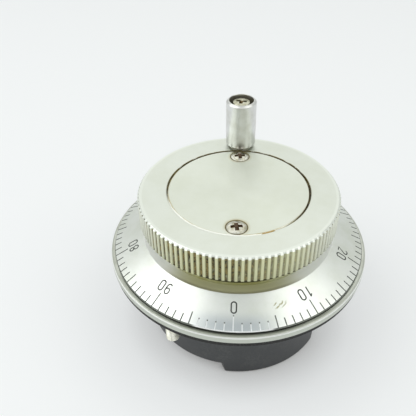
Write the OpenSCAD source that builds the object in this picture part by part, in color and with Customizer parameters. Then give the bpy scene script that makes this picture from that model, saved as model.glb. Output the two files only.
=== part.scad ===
// Panel-mounted manual pulse generator: a fluted handwheel with a conical graduated dial
// turns on a flanged bezel, drives a toothed detent and a slotted code disc, and sends
// its pulses to six screw terminals in the rear of the housing.
// Millimetres. The origin is on the shaft axis at the housing's rear rim, +Z to the knob
// and +Y to the index mark on the bezel.

/* [Bezel and panel fixing] */
// Width of the flange outside the housing
flange_w = 10.6; // [9.6:0.1:14]
// Thickness of the bezel flange
bezel_t = 2.2; // [1.8:0.1:3]
// Chamfer on the bezel's rim
bezel_chamfer = 0.5; // [0.2:0.1:0.8]
// Thickness of the panel gasket
gasket_t = 1.6; // [1:0.1:2.4]
// How far the gasket stays inside the bezel's rim
gasket_inset = 0.3; // [0:0.1:1]
// Distance of a stud's axis from the bezel's rim
stud_edge = 4; // [3.4:0.1:5]
// Diameter of a mounting stud
stud_d = 4; // [3:0.5:4]
// Length of a stud below the panel seat
stud_reach = 8; // [6:0.1:16]
// Depth of the hole a stud is pressed into
stud_seat = 1.5; // [1:0.1:1.7]
// How much thicker a stud's knurled root is, on the radius
stud_root = 0.2; // [0.1:0.05:0.3]
// Radial clearance round a stud's root in the gasket
stud_clear = 0.3; // [0.1:0.1:0.6]
// How far the housing steps in behind the gasket
gasket_relief = 0.8; // [0.7:0.05:1]

/* [Housing] */
// Wall of the housing
body_wall = 2.4; // [1.8:0.1:2.8]
// Depth of the terminal recess in the rear
recess_depth = 8.6; // [8:0.1:9.4]
// Thickness of the wall between recess and works
floor_t = 1.8; // [1.4:0.1:2.2]
// Width of each of the two feet that the rear rim stands on
foot_w = 30.5; // [20:0.5:40]
// Direction of the front foot, from +X
foot_angle = -34; // [-60:1:0]
// How much wider a foot is at its root, on each side
foot_taper = 0.8; // [0:0.1:2]
// Height of the two cable gaps between the feet
cable_gap_h = 4.3; // [3:0.1:6]
// Diameter of the three long housing screws
housing_screw_d = 3; // [2.5:0.1:3]
// Head diameter of the housing screws
housing_head_d = 5; // [4.4:0.1:5.2]
// Head height of the housing screws
housing_head_h = 1.9; // [1.5:0.1:2.2]
// Gap between a screw column and the wall
column_gap = 0.8; // [0.4:0.1:1.4]
// Diameter of a screw column in the housing
column_d = 5.2; // [4.8:0.1:5.4]
// Length of the bezel's screw bosses
bezel_boss_h = 6; // [4:0.2:8]

/* [Handwheel] */
// Diameter of the fluted grip
grip_d = 60.2; // [58:0.2:62]
// Height of the fluted grip
grip_h = 8.7; // [7.6:0.1:11]
// Number of flutes
flute_count = 110; // [90:1:120]
// Diameter of the round tool that cuts a flute
flute_d = 1; // [0.8:0.05:1.2]
// Depth of a flute
flute_depth = 0.42; // [0.3:0.02:0.5]
// Chamfer on the grip's upper edge
grip_chamfer = 0.6; // [0.3:0.1:1]
// Chamfer on the grip's lower edge
grip_lower_chamfer = 0.35; // [0.2:0.05:0.6]
// Depth of the undercut from the grip to the neck
undercut = 3.6; // [2.6:0.1:4.4]
// Height of the neck
neck_h = 4.8; // [4:0.2:6]
// Wall of the spigot round the hollow
spigot_wall = 2.25; // [1.5:0.05:4]
// Thickness of the wheel's face outside the cover
face_t = 5.5; // [5:0.1:6]
// Wall of the wheel's hub round its nut pocket
boss_wall = 0.6; // [0.4:0.1:2]
// How far the spigot ends short of the dial's underside
spigot_short = 0.5; // [0.3:0.1:1]
// Width of the neck's seat on the dial
seat_w = 4.75; // [4.4:0.05:5.4]

/* [Cover disc] */
// Width of the face round the cover disc
face_ring_w = 9; // [8:0.1:10]
// Thickness of the cover disc
cover_t = 1.6; // [1.3:0.1:2]
// Width of the gap round the cover disc
cover_gap = 0.3; // [0.1:0.05:0.4]
// Distance of a cover screw from the disc's edge
cover_screw_edge = 3.3; // [3.1:0.1:5]
// Thread diameter of a cover screw
cover_screw_d = 3; // [2.5:0.1:3.2]
// Head diameter of a cover screw
cover_head_d = 5.8; // [5.2:0.1:6.2]
// Length of a cover screw's thread below its head
cover_screw_l = 3; // [2:0.1:3.4]

/* [Dial] */
// Width of the bezel that shows round the dial
bezel_show = 1.5; // [0.8:0.1:2]
// Straight edge below the dial's cone
dial_edge = 0.6; // [0.4:0.1:1]
// Height of the cone
cone_h = 4.5; // [3.5:0.1:6]
// Width of the flat land round the neck
land_w = 3.1; // [2:0.1:4]
// Thickness of the dial under its flat land
dial_t = 3.1; // [2.8:0.1:3.4]
// Width of the dial's rim round its hollow
dial_rim_w = 6.5; // [5:0.1:9]
// Gap between the bezel and the dial
dial_gap = 0.4; // [0.3:0.05:0.6]
// Number of graduations
marks = 100; // [50:50:100]
// Length of a single mark, measured along the radius
mark_short = 1.9; // [1:0.1:2.2]
// Length of a mark at every fifth step
mark_medium = 2.9; // [2.3:0.1:3.1]
// Length of a mark at every tenth step
mark_long = 3.7; // [3.2:0.1:4.2]
// Width of a mark
mark_w = 0.26; // [0.2:0.02:0.4]
// Depth of a mark
mark_depth = 0.16; // [0.1:0.02:0.24]
// Reading of the dial at rest against the index
reading = 42; // [0:1:99]
// Thread diameter of the screws that hold the dial
dial_screw_d = 2; // [1.6:0.1:2.2]
// Depth of the dial's screws in the wheel
dial_screw_l = 3.2; // [2:0.1:4]
// Outer diameter of the dust seal
seal_d = 56; // [50:0.5:60]
// Width of the dust seal
seal_w = 2; // [1.4:0.1:3]
// Depth of its groove in the bezel
seal_sink = 0.8; // [0.5:0.1:1.2]
// Gap between the dust seal and the dial
seal_gap = 0.3; // [0.3:0.05:0.5]

/* [Crank knob] */
// Distance of the knob's axis from the grip's edge
crank_edge = 4.8; // [4.4:0.1:5.2]
// Diameter of the knob
knob_d = 9.7; // [9:0.1:10.4]
// Length of the knob
knob_len = 15.8; // [12:0.2:24]
// Chamfer on the knob's ends
knob_chamfer = 0.6; // [0.3:0.1:0.8]
// Width of the knob's lip round its recess
knob_lip = 0.9; // [0.8:0.05:1.2]
// Depth of the recess over the knob's screw
knob_recess_depth = 2.7; // [2.4:0.1:6]
// Wall of the knob's bush
bush_wall = 0.85; // [0.6:0.05:1]
// Diameter of the shoulder the knob turns on
shoulder_d = 4.6; // [4.4:0.1:4.8]
// Step from the shoulder to its thread
shoulder_step = 0.3; // [0.2:0.05:0.5]
// Length of the shoulder screw's thread
knob_screw_l = 5; // [4:0.1:5.2]
// Overhang of the screw's head over its shoulder
head_lip = 0.45; // [0.35:0.05:0.8]
// Head height of the shoulder screw
knob_head_h = 2; // [1.6:0.1:2.4]
// Thickness of the washer under the knob
knob_washer_t = 0.5; // [0.4:0.1:1]
// Width of the washer under the knob
knob_washer_w = 1.4; // [1.1:0.05:1.6]

/* [Shaft and bearings] */
// Diameter of the shaft
shaft_d = 8; // [7.6:0.1:8.4]
// Outer diameter of a bearing
bearing_od = 16; // [15.6:0.1:17]
// Width of a bearing
bearing_w = 5; // [4.6:0.1:5]
// Diameter of a bearing ball
ball_d = 2.4; // [2.2:0.1:2.5]
// Number of balls in a bearing
balls = 9; // [6:1:9]
// Thickness of a bearing ring at its lip
race_t = 1.05; // [0.9:0.05:1.1]
// Wall of the tube that carries the bearings
hub_wall = 2.5; // [1.8:0.1:3]
// Length of that tube in front of the bezel
hub_front = 8.6; // [8:0.1:9]
// Length of that tube behind the bezel
hub_rear = 7; // [6.6:0.1:7.4]
// Width of the collar that the wheel seats on
collar_w = 1.2; // [0.9:0.05:1.5]
// Diameter of the shaft's threaded end
stem_d = 6; // [5:0.5:6]
// Depth of the flat on the threaded end
stem_flat = 0.6; // [0.3:0.1:0.8]
// Width of the hub nut across its flats
nut_af = 10; // [9:0.5:10.5]
// Height of the hub nut
nut_h = 3; // [2.5:0.1:3.1]
// Overhang of the hub washer over the nut's flats
hub_washer_rim = 1; // [0.8:0.1:1.6]
// Thickness of the hub washer
hub_washer_t = 0.8; // [0.5:0.1:0.9]
// Thickness of the retaining rings
circlip_t = 0.8; // [0.6:0.1:0.9]
// Thickness of the preload washer
preload_t = 0.4; // [0.3:0.1:0.6]

/* [Detent] */
// Number of detent teeth
teeth = 100; // [80:10:100]
// Gap between the bearing tube and the rotor
rotor_gap = 1.5; // [0.8:0.1:2.5]
// Depth of the rotor's teeth
tooth_depth = 0.7; // [0.4:0.1:0.9]
// Air gap between rotor and stator
air_gap = 0.35; // [0.3:0.05:0.6]
// Radial thickness of the rotor's rim
rotor_rim = 3.4; // [3:0.1:3.6]
// Diameter of the rotor's hub
rotor_hub_d = 15; // [13:0.5:17]
// Width of a stator plate, with its teeth
stator_w = 4.85; // [4.4:0.05:5.6]
// Thickness of one stator plate
stator_plate_t = 1.4; // [1:0.1:1.6]
// Thickness of the magnet between the plates
magnet_t = 2; // [1.5:0.1:2.2]
// Height of the bosses that carry the stator
stator_boss_h = 2.8; // [2:0.1:3.2]
// Gap between the stator and the screw columns
stator_clear = 0.4; // [0.3:0.1:1]
// Thickness of the rotor's plate
rotor_plate_t = 1.4; // [1:0.1:2]
// Length of the rotor's hub behind its plate
rotor_drop = 1; // [0.6:0.1:2]
// Length of the rotor's hub in front of its plate
rotor_rise = 2.6; // [2.4:0.1:4]
// Thread diameter of the set screw and of the small screws
small_screw_d = 2; // [1.6:0.1:2]
// Head diameter of the small screws
small_head_d = 3.4; // [3:0.1:3.8]
// Head height of the small screws
small_head_h = 1.1; // [0.8:0.1:1.3]

/* [Encoder] */
// Thickness of the circuit board
board_t = 1.6; // [1:0.1:2]
// Height of the pillars under the board
board_pillar_h = 1; // [0.8:0.1:1.4]
// Wall of a board pillar round its screw
board_pillar_wall = 1.2; // [1:0.1:1.4]
// Gap between the board and the housing
board_gap = 1.5; // [0.8:0.1:2]
// Diameter of the code disc
code_d = 38; // [36:0.5:39]
// Thickness of the code disc
code_t = 0.4; // [0.2:0.05:0.6]
// Number of slots in the code disc
slots = 100; // [50:25:100]
// Distance of the slots' outer ends from the disc's edge
slot_edge = 0.7; // [0.5:0.1:1]
// Length of a slot
slot_l = 1.4; // [1:0.1:1.8]
// Width of a slot
slot_w = 0.45; // [0.3:0.05:0.5]
// Height of the disc above the board
code_height = 2; // [1.8:0.1:2.4]
// Width of the forked light barrier
sensor_w = 6; // [4:0.2:8]
// Thickness of its closed side
sensor_wall = 1; // [0.8:0.1:1.5]
// Gap between its arms and the code disc
sensor_gap = 0.6; // [0.4:0.05:0.8]
// Height of its upper arm
sensor_arm_h = 1.6; // [1:0.1:2]
// Distance of the board screws from the shaft axis
board_screw_r = 18; // [16:0.5:19]

/* [Terminals] */
// Number of terminals
terminals = 6; // [4:1:6]
// Distance between terminals
terminal_pitch = 5; // [4.5:0.1:5.2]
// Depth of the terminal block across its length
block_w = 9; // [8:0.2:11]
// Height of the terminal block
block_h = 7; // [6:0.1:7.6]
// Position of the block's near side, towards the cable gap
block_y = -2; // [-4:0.5:2]
// Depth of a screw shaft in the block
screw_shaft_h = 3; // [2.5:0.1:3.5]
// Roof of the block over the wire clamps
block_roof = 1; // [0.8:0.1:1.4]
// Width of a wire clamp
clamp_w = 3.2; // [2.8:0.1:3.6]
// Thickness of a wire clamp's walls
clamp_wall = 0.45; // [0.3:0.05:0.6]
// Side of a square contact pin
pin_w = 1; // [0.6:0.1:1.2]
// Height of a terminal screw's head
terminal_head_h = 1.8; // [1.4:0.1:2.2]

/* [Hidden] */
$fn = 96;

// Overshoot of a cut past the face that it opens
e = 0.5;
// Radial clearance of the knob's bush on its shoulder
turn_clear = 0.05;
// End play of the knob between its washer and its screw head
end_play = 0.1;
// Clearance of a ball in its grooves
ball_clear = 0.03;
// Clearance of a ball in its cage
pocket_clear = 0.1;
// Clearance of a screw in a plain hole
hole_clear = 0.1;
// Free height under the end of the shaft and inside the cover
end_clear = 0.3;
// Depth of the groove that holds a retaining ring
ring_groove = 0.5;

// Radii and diameters, from the bearings outwards to the bezel's rim
ball_r = bearing_od / 4 + shaft_d / 4;
groove_r = ball_d * 0.52;
hub_d = bearing_od + 2 * hub_wall;
rotor_d = hub_d + 2 * (rotor_gap + rotor_rim);
stator_bore = rotor_d / 2 + air_gap;
stator_d = 2 * (stator_bore + stator_w);
column_r = stator_d / 2 + stator_clear + column_d / 2;
body_bore = column_r + column_d / 2 + column_gap;
body_d = 2 * (body_bore + body_wall);
board_d = 2 * (body_bore - board_gap);
bezel_d = body_d + 2 * flange_w;
stud_r = bezel_d / 2 - stud_edge;
dial_d = bezel_d - 2 * bezel_show;
dial_hollow_d = dial_d - 2 * dial_rim_w;

// Diameters of the wheel, from the grip inwards
neck_d = grip_d - 2 * undercut;
land_d = neck_d + 2 * land_w;
spigot_d = neck_d - 2 * seat_w;
cavity_d = spigot_d - 2 * spigot_wall;
cover_d = grip_d - 2 * face_ring_w;
cover_screw_r = cover_d / 2 - cover_screw_edge;
dial_screw_r = (spigot_d + neck_d) / 4;
hub_washer_d = nut_af + 2 * hub_washer_rim;
pocket_r = hub_washer_d / 2 + 0.4;
boss_r = pocket_r + boss_wall;
collar_d = shaft_d + 2 * collar_w;

// Diameters of the crank knob, from its shoulder outwards
crank_r = grip_d / 2 - crank_edge;
knob_screw_d = shoulder_d - 2 * shoulder_step;
knob_head_d = shoulder_d + 2 * head_lip;
knob_washer_d = shoulder_d + 2 * knob_washer_w;
knob_bore = shoulder_d / 2 + turn_clear;
bush_d = 2 * (knob_bore + bush_wall);
knob_recess_d = knob_d - 2 * knob_lip;

// Heights of the works, from the rear rim to the bezel
z_floor = recess_depth + floor_t;
z_board = z_floor + board_pillar_h;
z_board_top = z_board + board_t;
z_code = z_board_top + code_height;
z_rotor = z_code + code_t;
z_rotor_plate = z_rotor + rotor_drop;
z_rotor_rim = z_rotor_plate + rotor_plate_t;
z_rotor_hub_top = z_rotor_rim + rotor_rise;
z_set_screw = z_rotor_rim + rotor_rise / 2;
z_hub = z_rotor_hub_top + 1;
z_bezel = z_hub + hub_rear;
z_seat = z_bezel - gasket_t;
z_column = z_bezel - bezel_boss_h;
clamp_h = 1;
z_shaft = z_code - clamp_h - 0.2;
stator_h = 2 * stator_plate_t + magnet_t;
z_stator = z_bezel - stator_boss_h - stator_h;

// Heights of the wheel, from the bezel to the top of the knob
z_bezel_top = z_bezel + bezel_t;
z_dial = z_bezel_top + dial_gap;
z_edge = z_dial + dial_edge;
z_land = z_edge + cone_h;
z_under = z_land - dial_t;
z_seal_top = z_under - seal_gap;
z_grip = z_land + neck_h;
z_face = z_grip + grip_h;
z_cover = z_face - cover_t;
z_ceiling = z_face - face_t;
z_nut = z_cover - end_clear - nut_h;
z_washer = z_nut - hub_washer_t;
z_knob = z_face + knob_washer_t + end_play;
z_knob_top = z_knob + knob_len;
z_knob_floor = z_knob_top - knob_recess_depth;

// Heights of the bearings in their tube
z_hub_top = z_bezel_top + hub_front;
z_rear_bearing = z_hub + 0.6;
z_front_bearing = z_hub_top - circlip_t - 0.4 - bearing_w;
z_preload = z_rear_bearing + bearing_w;
z_collar = z_front_bearing + bearing_w;
collar_h = 2;
z_boss = z_collar + collar_h;

cone_slope = atan(cone_h / ((dial_d - land_d) / 2));
mark_step = 360 / marks;
zero_angle = 90 - 3.6 * reading;
knob_angle = zero_angle + 180;
stud_angles = [270, 30, 150];
housing_screw_angles = [90, 210, 330];
small_screw_angles = [30, 150, 270];
dial_screw_angles = [for (i = [0:2]) zero_angle + 60 + 120 * i];
stator_screw_r = stator_d / 2 - (stator_w - tooth_depth) / 2;
tooth_w = 0.42;
sensor_angle = 120;
z_block = recess_depth - block_h;
z_clamp = z_block + screw_shaft_h;
clamp_height = block_h - screw_shaft_h - block_roof;
terminal_head_d = terminal_pitch * 0.68;
terminal_thread_d = 2;
terminal_bite = 0.7;
slot_cut = 0.6;
pin_back = 2.2;
recess_share = 0.62;

module at(r, a, z = 0) rotate([0, 0, a]) translate([r, 0, z]) children();

module ring(ro, ri, z0, z1) {
    difference() {
        translate([0, 0, z0]) cylinder(r = ro, h = z1 - z0);
        translate([0, 0, z0 - e]) cylinder(r = ri, h = z1 - z0 + 2 * e);
    }
}

// Cross recess cut into the top of a head: two slots and a tapered pit
module cross_recess(size, depth) {
    slot = size * 0.24;
    translate([-size / 2, -slot / 2, -depth * 0.7]) cube([size, slot, depth + e]);
    translate([-slot / 2, -size / 2, -depth * 0.7]) cube([slot, size, depth + e]);
    translate([0, 0, -depth]) cylinder(r1 = slot * 0.4, r2 = size * 0.34, h = depth + 0.02);
}

// Screw with a flat cheese head, head downwards from z = 0 and thread upwards
module cheese_screw(d, l, head_d, head_h) {
    cylinder(d = d, h = l);
    difference() {
        translate([0, 0, -head_h]) cylinder(d = head_d, h = head_h);
        translate([0, 0, -head_h]) mirror([0, 0, 1]) cross_recess(head_d * recess_share, head_h * 0.6);
    }
}

// ---- Fixed base ----

module bezel_flange() {
    r = bezel_d / 2;
    color("gainsboro") difference() {
        union() {
            rotate_extrude() polygon([
                [bearing_od / 2 - 1, z_hub], [hub_d / 2, z_hub], [hub_d / 2, z_bezel],
                [r, z_bezel], [r, z_bezel_top - bezel_chamfer], [r - bezel_chamfer, z_bezel_top],
                [hub_d / 2, z_bezel_top], [hub_d / 2, z_hub_top], [bearing_od / 2 - 1, z_hub_top]
            ]);
            for (a = housing_screw_angles)
                at(column_r, a, z_column) cylinder(d = column_d, h = bezel_boss_h + e);
            for (a = small_screw_angles)
                at(stator_screw_r, a, z_bezel - stator_boss_h) cylinder(d = 4, h = stator_boss_h + e);
        }
        // Seats of the two bearings, open to the ends of the tube
        translate([0, 0, z_hub - e])
            cylinder(d = bearing_od, h = z_preload + preload_t - z_hub + e);
        translate([0, 0, z_front_bearing])
            cylinder(d = bearing_od, h = z_hub_top - z_front_bearing + e);
        translate([0, 0, z_collar])
            cylinder(d = bearing_od + 2 * ring_groove, h = circlip_t);
        for (a = housing_screw_angles)
            at(column_r, a, z_column - e)
                cylinder(d = housing_screw_d, h = bezel_boss_h + e + bezel_t / 2);
        for (a = small_screw_angles)
            at(stator_screw_r, a, z_bezel - stator_boss_h - e)
                cylinder(d = small_screw_d, h = stator_boss_h + e + 1);
        for (a = stud_angles)
            at(stud_r, a, z_bezel - e) cylinder(r = stud_d / 2 + stud_root, h = stud_seat + e);
        // Groove of the dust seal, and the index mark at twelve o'clock
        ring(seal_d / 2, seal_d / 2 - seal_w, z_bezel_top - seal_sink, z_bezel_top + e);
        at(r - 1.6, 90, z_bezel_top - mark_depth)
            translate([0, -mark_w, 0]) cube([1.6 + e, 2 * mark_w, e]);
    }
}
module panel_gasket() {
    color("dimgray") difference() {
        ring(bezel_d / 2 - gasket_inset, body_d / 2 + 0.1, z_seat, z_bezel);
        for (a = stud_angles)
            at(stud_r, a, z_seat - e)
                cylinder(r = stud_d / 2 + stud_root + stud_clear, h = gasket_t + 2 * e);
    }
}

module mounting_studs() {
    tip = 0.4;
    root = stud_d / 2 + stud_root;
    length = stud_reach + gasket_t + stud_seat;
    color("silver") for (a = stud_angles)
        at(stud_r, a, z_seat - stud_reach) rotate_extrude() polygon([
            [0, 0], [stud_d / 2 - tip, 0], [stud_d / 2, tip], [stud_d / 2, stud_reach],
            [root, stud_reach], [root, length], [0, length]
        ]);
}

module housing() {
    r = body_d / 2;
    rim = 0.6;
    color("dimgray") difference() {
        union() {
            rotate_extrude() polygon([
                [body_bore, 0], [r - rim, 0], [r, rim], [r, z_seat], [r - gasket_relief, z_seat],
                [r - gasket_relief, z_bezel], [body_bore, z_bezel],
                [body_bore, z_floor], [0, z_floor], [0, recess_depth], [body_bore, recess_depth]
            ]);
            for (a = housing_screw_angles) {
                at(column_r, a, z_floor - 1)
                    cylinder(d = column_d, h = z_column - z_floor + 1);
                // Web that ties the column to the wall
                at(column_r, a, z_floor - 1) translate([0, -1, 0])
                    cube([body_bore + 1 - column_r, 2, z_column - z_floor + 1]);
            }
            for (a = small_screw_angles)
                at(board_screw_r, a, z_floor - 1)
                cylinder(r = small_screw_d / 2 + board_pillar_wall, h = board_pillar_h + 1);
        }
        for (a = housing_screw_angles)
            at(column_r, a, recess_depth - e)
                cylinder(d = housing_screw_d + 2 * hole_clear, h = z_column - recess_depth + 2 * e);
        for (a = small_screw_angles)
            at(board_screw_r, a, z_board - 2) cylinder(d = small_screw_d, h = 2 + e);
        // Cable gaps in the rear rim, one on each side of the two feet
        for (side = [0, 180]) rotate([0, 0, foot_angle + side])
            translate([-r - e, 0, 0]) rotate([90, 0, 90]) linear_extrude(2 * r + 2 * e) polygon([
                [foot_w / 2, -e], [foot_w / 2 + foot_taper, cable_gap_h],
                [r + e, cable_gap_h], [r + e, -e]
            ]);
        terminal_pins(0.2, recess_depth - e, z_floor + e);
    }
}

module housing_screws() {
    reach = z_column - recess_depth + bezel_boss_h + 0.8;
    color("silver") for (a = housing_screw_angles)
        at(column_r, a, recess_depth) cheese_screw(housing_screw_d, reach, housing_head_d, housing_head_h);
}

module dust_seal() {
    color("black") ring(seal_d / 2, seal_d / 2 - seal_w, z_bezel_top - seal_sink, z_seal_top);
}
module hub_circlip() {
    color("silver") difference() {
        ring(bearing_od / 2 + ring_groove, bearing_od / 2 - 0.7, z_collar, z_collar + circlip_t);
        // Open ends of the ring
        translate([0, -1.6, z_collar - e]) cube([hub_d, 3.2, circlip_t + 2 * e]);
    }
}

module preload_washer() {
    color("silver") ring(bearing_od / 2 - 0.1, bearing_od / 2 - 0.9, z_preload, z_preload + preload_t);
}

// ---- Bearings ----

module groove_cut(z, side) {
    // A true torus, set so that the ball clears the groove's bottom
    bottom = ball_r + side * (ball_d / 2 + ball_clear);
    translate([0, 0, z + bearing_w / 2]) rotate_extrude()
        translate([bottom - side * groove_r, 0]) circle(r = groove_r, $fn = 48);
}

module outer_race(z) {
    color("lightgray") difference() {
        ring(bearing_od / 2, bearing_od / 2 - race_t, z, z + bearing_w);
        groove_cut(z, 1);
    }
}

module inner_race(z) {
    color("lightgray") difference() {
        ring(shaft_d / 2 + race_t, shaft_d / 2, z, z + bearing_w);
        groove_cut(z, -1);
    }
}

module ball_set(z) {
    color("silver") for (i = [0:balls - 1])
        at(ball_r, i * 360 / balls, z + bearing_w / 2) sphere(d = ball_d, $fn = 32);
}

module cage(z) {
    // Crown cage: the balls snap into pockets that are open to the rear
    mid = z + bearing_w / 2;
    color("goldenrod") difference() {
        ring(ball_r + 0.55, ball_r - 0.55, mid - 0.6, mid + ball_d / 2 + pocket_clear + 0.6);
        for (i = [0:balls - 1])
            at(ball_r, i * 360 / balls, mid) sphere(r = ball_d / 2 + pocket_clear, $fn = 32);
    }
}

// ---- Detent and encoder ----

module detent_stator() {
    // Two toothed plates; their teeth stand in three groups opposite the rotor's
    color("slategray") for (z = [z_stator, z_stator + stator_plate_t + magnet_t])
        translate([0, 0, z]) linear_extrude(stator_plate_t) difference() {
            circle(d = stator_d);
            circle(r = stator_bore + tooth_depth);
            for (a = small_screw_angles) rotate(a) translate([stator_screw_r, 0])
                circle(d = small_screw_d + 2 * hole_clear, $fn = 32);
        }
    color("slategray") for (z = [z_stator, z_stator + stator_plate_t + magnet_t])
        translate([0, 0, z]) linear_extrude(stator_plate_t) intersection() {
            difference() {
                circle(r = stator_bore + tooth_depth);
                circle(r = stator_bore);
            }
            for (a = small_screw_angles, i = [-3:3]) rotate(a + i * 360 / teeth)
                translate([stator_bore - 1, -tooth_w / 2]) square([tooth_depth + 2, tooth_w]);
        }
}

module detent_magnet() {
    color("black") difference() {
        ring(stator_d / 2 - 0.4, stator_bore + tooth_depth + 0.4,
             z_stator + stator_plate_t, z_stator + stator_plate_t + magnet_t);
        for (a = small_screw_angles)
            at(stator_screw_r, a, z_stator) cylinder(d = small_screw_d + 2 * hole_clear, h = stator_h);
    }
}

module stator_screws() {
    color("silver") for (a = small_screw_angles)
        at(stator_screw_r, a, z_stator) 
            cheese_screw(small_screw_d, stator_h + stator_boss_h, small_head_d, small_head_h);
}

module detent_rotor() {
    r = rotor_d / 2;
    z_rim = z_stator + stator_h;
    color("slategray") difference() {
        rotate_extrude() polygon([
            [shaft_d / 2, z_rotor], [rotor_hub_d / 2, z_rotor], [rotor_hub_d / 2, z_rotor_plate],
            [r, z_rotor_plate], [r, z_rim], [r - rotor_rim, z_rim],
            [r - rotor_rim, z_rotor_rim],
            [rotor_hub_d / 2, z_rotor_rim], [rotor_hub_d / 2, z_rotor_hub_top],
            [shaft_d / 2, z_rotor_hub_top]
        ]);
        for (i = [0:teeth - 1]) rotate([0, 0, (i + 0.5) * 360 / teeth])
            translate([r - tooth_depth, -tooth_w / 2, z_rotor_plate - e])
                cube([tooth_depth + e, tooth_w, z_rim - z_rotor_plate + 2 * e]);
        // Set screw's hole, and the way in to it through the rim
        at(0, 45, z_set_screw) rotate([0, 90, 0]) cylinder(d = small_screw_d, h = r + e);
    }
}
module rotor_set_screw() {
    color("black") at(shaft_d / 2, 45, z_set_screw) rotate([0, 90, 0]) difference() {
        cylinder(d = small_screw_d, h = (rotor_hub_d - shaft_d) / 2);
        translate([0, 0, (rotor_hub_d - shaft_d) / 2 - 0.8]) cylinder(d = 1, h = 1, $fn = 6);
    }
}

module code_disc() {
    color("lightsteelblue") difference() {
        ring(code_d / 2, shaft_d / 2 + 0.05, z_code, z_code + code_t);
        for (i = [0:slots - 1]) rotate([0, 0, (i + 0.5) * 360 / slots])
            translate([code_d / 2 - slot_edge - slot_l, -slot_w / 2, z_code - e])
                cube([slot_l, slot_w, code_t + 2 * e]);
    }
}

module code_clamp() {
    color("silver") ring(rotor_hub_d / 2 - 0.5, shaft_d / 2, z_code - clamp_h, z_code);
}

module encoder_board() {
    color("darkgreen") difference() {
        translate([0, 0, z_board]) cylinder(d = board_d, h = board_t);
        for (a = housing_screw_angles) {
            at(column_r, a, z_board - e) cylinder(d = column_d + 1, h = board_t + 2 * e);
            at(column_r, a, z_board - e) translate([0, -2, 0]) cube([6, 4, board_t + 2 * e]);
        }
        for (a = small_screw_angles)
            at(board_screw_r, a, z_board - e)
                cylinder(d = small_screw_d + 2 * hole_clear, h = board_t + 2 * e);
        terminal_pins(0.15, z_board - e, z_board_top + e);
    }
}

module encoder_sensor() {
    // Forked light barrier that straddles the edge of the code disc
    inner = code_d / 2 - slot_edge - slot_l - 0.8;
    outer = code_d / 2 + sensor_gap + sensor_wall;
    low = code_height - sensor_gap;
    slot = code_t + 2 * sensor_gap;
    color("black") at(inner, sensor_angle, z_board_top) translate([0, -sensor_w / 2, 0]) difference() {
        cube([outer - inner, sensor_w, low + slot + sensor_arm_h]);
        translate([-e, -e, low]) cube([outer - sensor_wall - inner + e, sensor_w + 2 * e, slot]);
    }
}

module board_screws() {
    color("silver") for (a = small_screw_angles)
        at(board_screw_r, a, z_board_top) mirror([0, 0, 1])
            cheese_screw(small_screw_d, board_t + board_pillar_h + floor_t / 3, small_head_d, small_head_h);
}

// ---- Terminals ----

function terminal_x(i) = (i - (terminals - 1) / 2) * terminal_pitch;

module terminal_pins(clear, z0, z1) {
    for (i = [0:terminals - 1])
        translate([terminal_x(i) - pin_w / 2 - clear, block_y + block_w - pin_back - clear, z0])
            cube([pin_w + 2 * clear, pin_w + 2 * clear, z1 - z0]);
}

module terminal_block() {
    length = terminals * terminal_pitch + 1;
    color("darkgreen") difference() {
        translate([-length / 2, block_y, z_block]) cube([length, block_w, block_h]);
        for (i = [0:terminals - 1]) {
            // Screw shaft, open to the rear, and wire entry, open towards the cable gap
            translate([terminal_x(i), block_y + block_w / 2, z_block - e])
                cylinder(d = terminal_head_d + 0.4, h = screw_shaft_h + e);
            translate([terminal_x(i) - clamp_w / 2, block_y - e, z_clamp])
                cube([clamp_w, block_w - 1 + e, clamp_height]);
        }
        terminal_pins(0, z_clamp, recess_depth + e);
    }
}

module terminal_contacts() {
    color("goldenrod") for (i = [0:terminals - 1]) {
        // Wire clamp: a box open towards the cable gap, and the pin that is soldered to the board
        translate([terminal_x(i) - clamp_w / 2, block_y + 1, z_clamp]) difference() {
            cube([clamp_w, block_w - 2, clamp_height]);
            translate([clamp_wall, -e, clamp_wall])
                cube([clamp_w - 2 * clamp_wall, block_w - 2 - pin_back + e, clamp_height - 2 * clamp_wall]);
            translate([clamp_w / 2, block_w / 2 - 1, -e])
                cylinder(d = terminal_thread_d, h = clamp_wall + 2 * e);
        }
    }
    color("goldenrod") terminal_pins(0, z_clamp + clamp_height - clamp_wall, z_board_top + 0.8);
}

module terminal_screws() {
    color("silver") for (i = [0:terminals - 1])
        translate([terminal_x(i), block_y + block_w / 2, z_clamp]) difference() {
            union() {
                translate([0, 0, -terminal_head_h]) cylinder(d = terminal_head_d, h = terminal_head_h);
                cylinder(d = terminal_thread_d, h = clamp_wall + terminal_bite);
            }
            translate([-terminal_head_d, -slot_cut / 2, -terminal_head_h - e])
                cube([2 * terminal_head_d, slot_cut, terminal_head_h * 0.4 + e]);
        }
}

// ---- Shaft group ----

module shaft() {
    r = shaft_d / 2;
    end = z_cover - end_clear;
    groove = z_rear_bearing - circlip_t;
    color("silver") difference() {
        rotate_extrude() polygon([
            [0, z_shaft], [r - 0.4, z_shaft], [r, z_shaft + 0.4], [r, groove], [r - ring_groove, groove],
            [r - ring_groove, z_rear_bearing], [r, z_rear_bearing], [r, z_collar],
            [collar_d / 2, z_collar], [collar_d / 2, z_boss], [stem_d / 2, z_boss],
            [stem_d / 2, end - 0.4], [stem_d / 2 - 0.4, end], [0, end]
        ]);
        translate([-stem_d, stem_d / 2 - stem_flat, z_boss]) cube([2 * stem_d, stem_d, end]);
    }
}

module bearing_spacer() {
    color("lightgray")
        ring(shaft_d / 2 + race_t, shaft_d / 2, z_rear_bearing + bearing_w, z_front_bearing);
}

module shaft_circlip() {
    z = z_rear_bearing - circlip_t;
    color("silver") difference() {
        ring(shaft_d / 2 + 1, shaft_d / 2 - ring_groove, z, z + circlip_t);
        translate([0, -1.4, z - e]) cube([shaft_d, 2.8, circlip_t + 2 * e]);
    }
}

// ---- Wheel group ----

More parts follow.
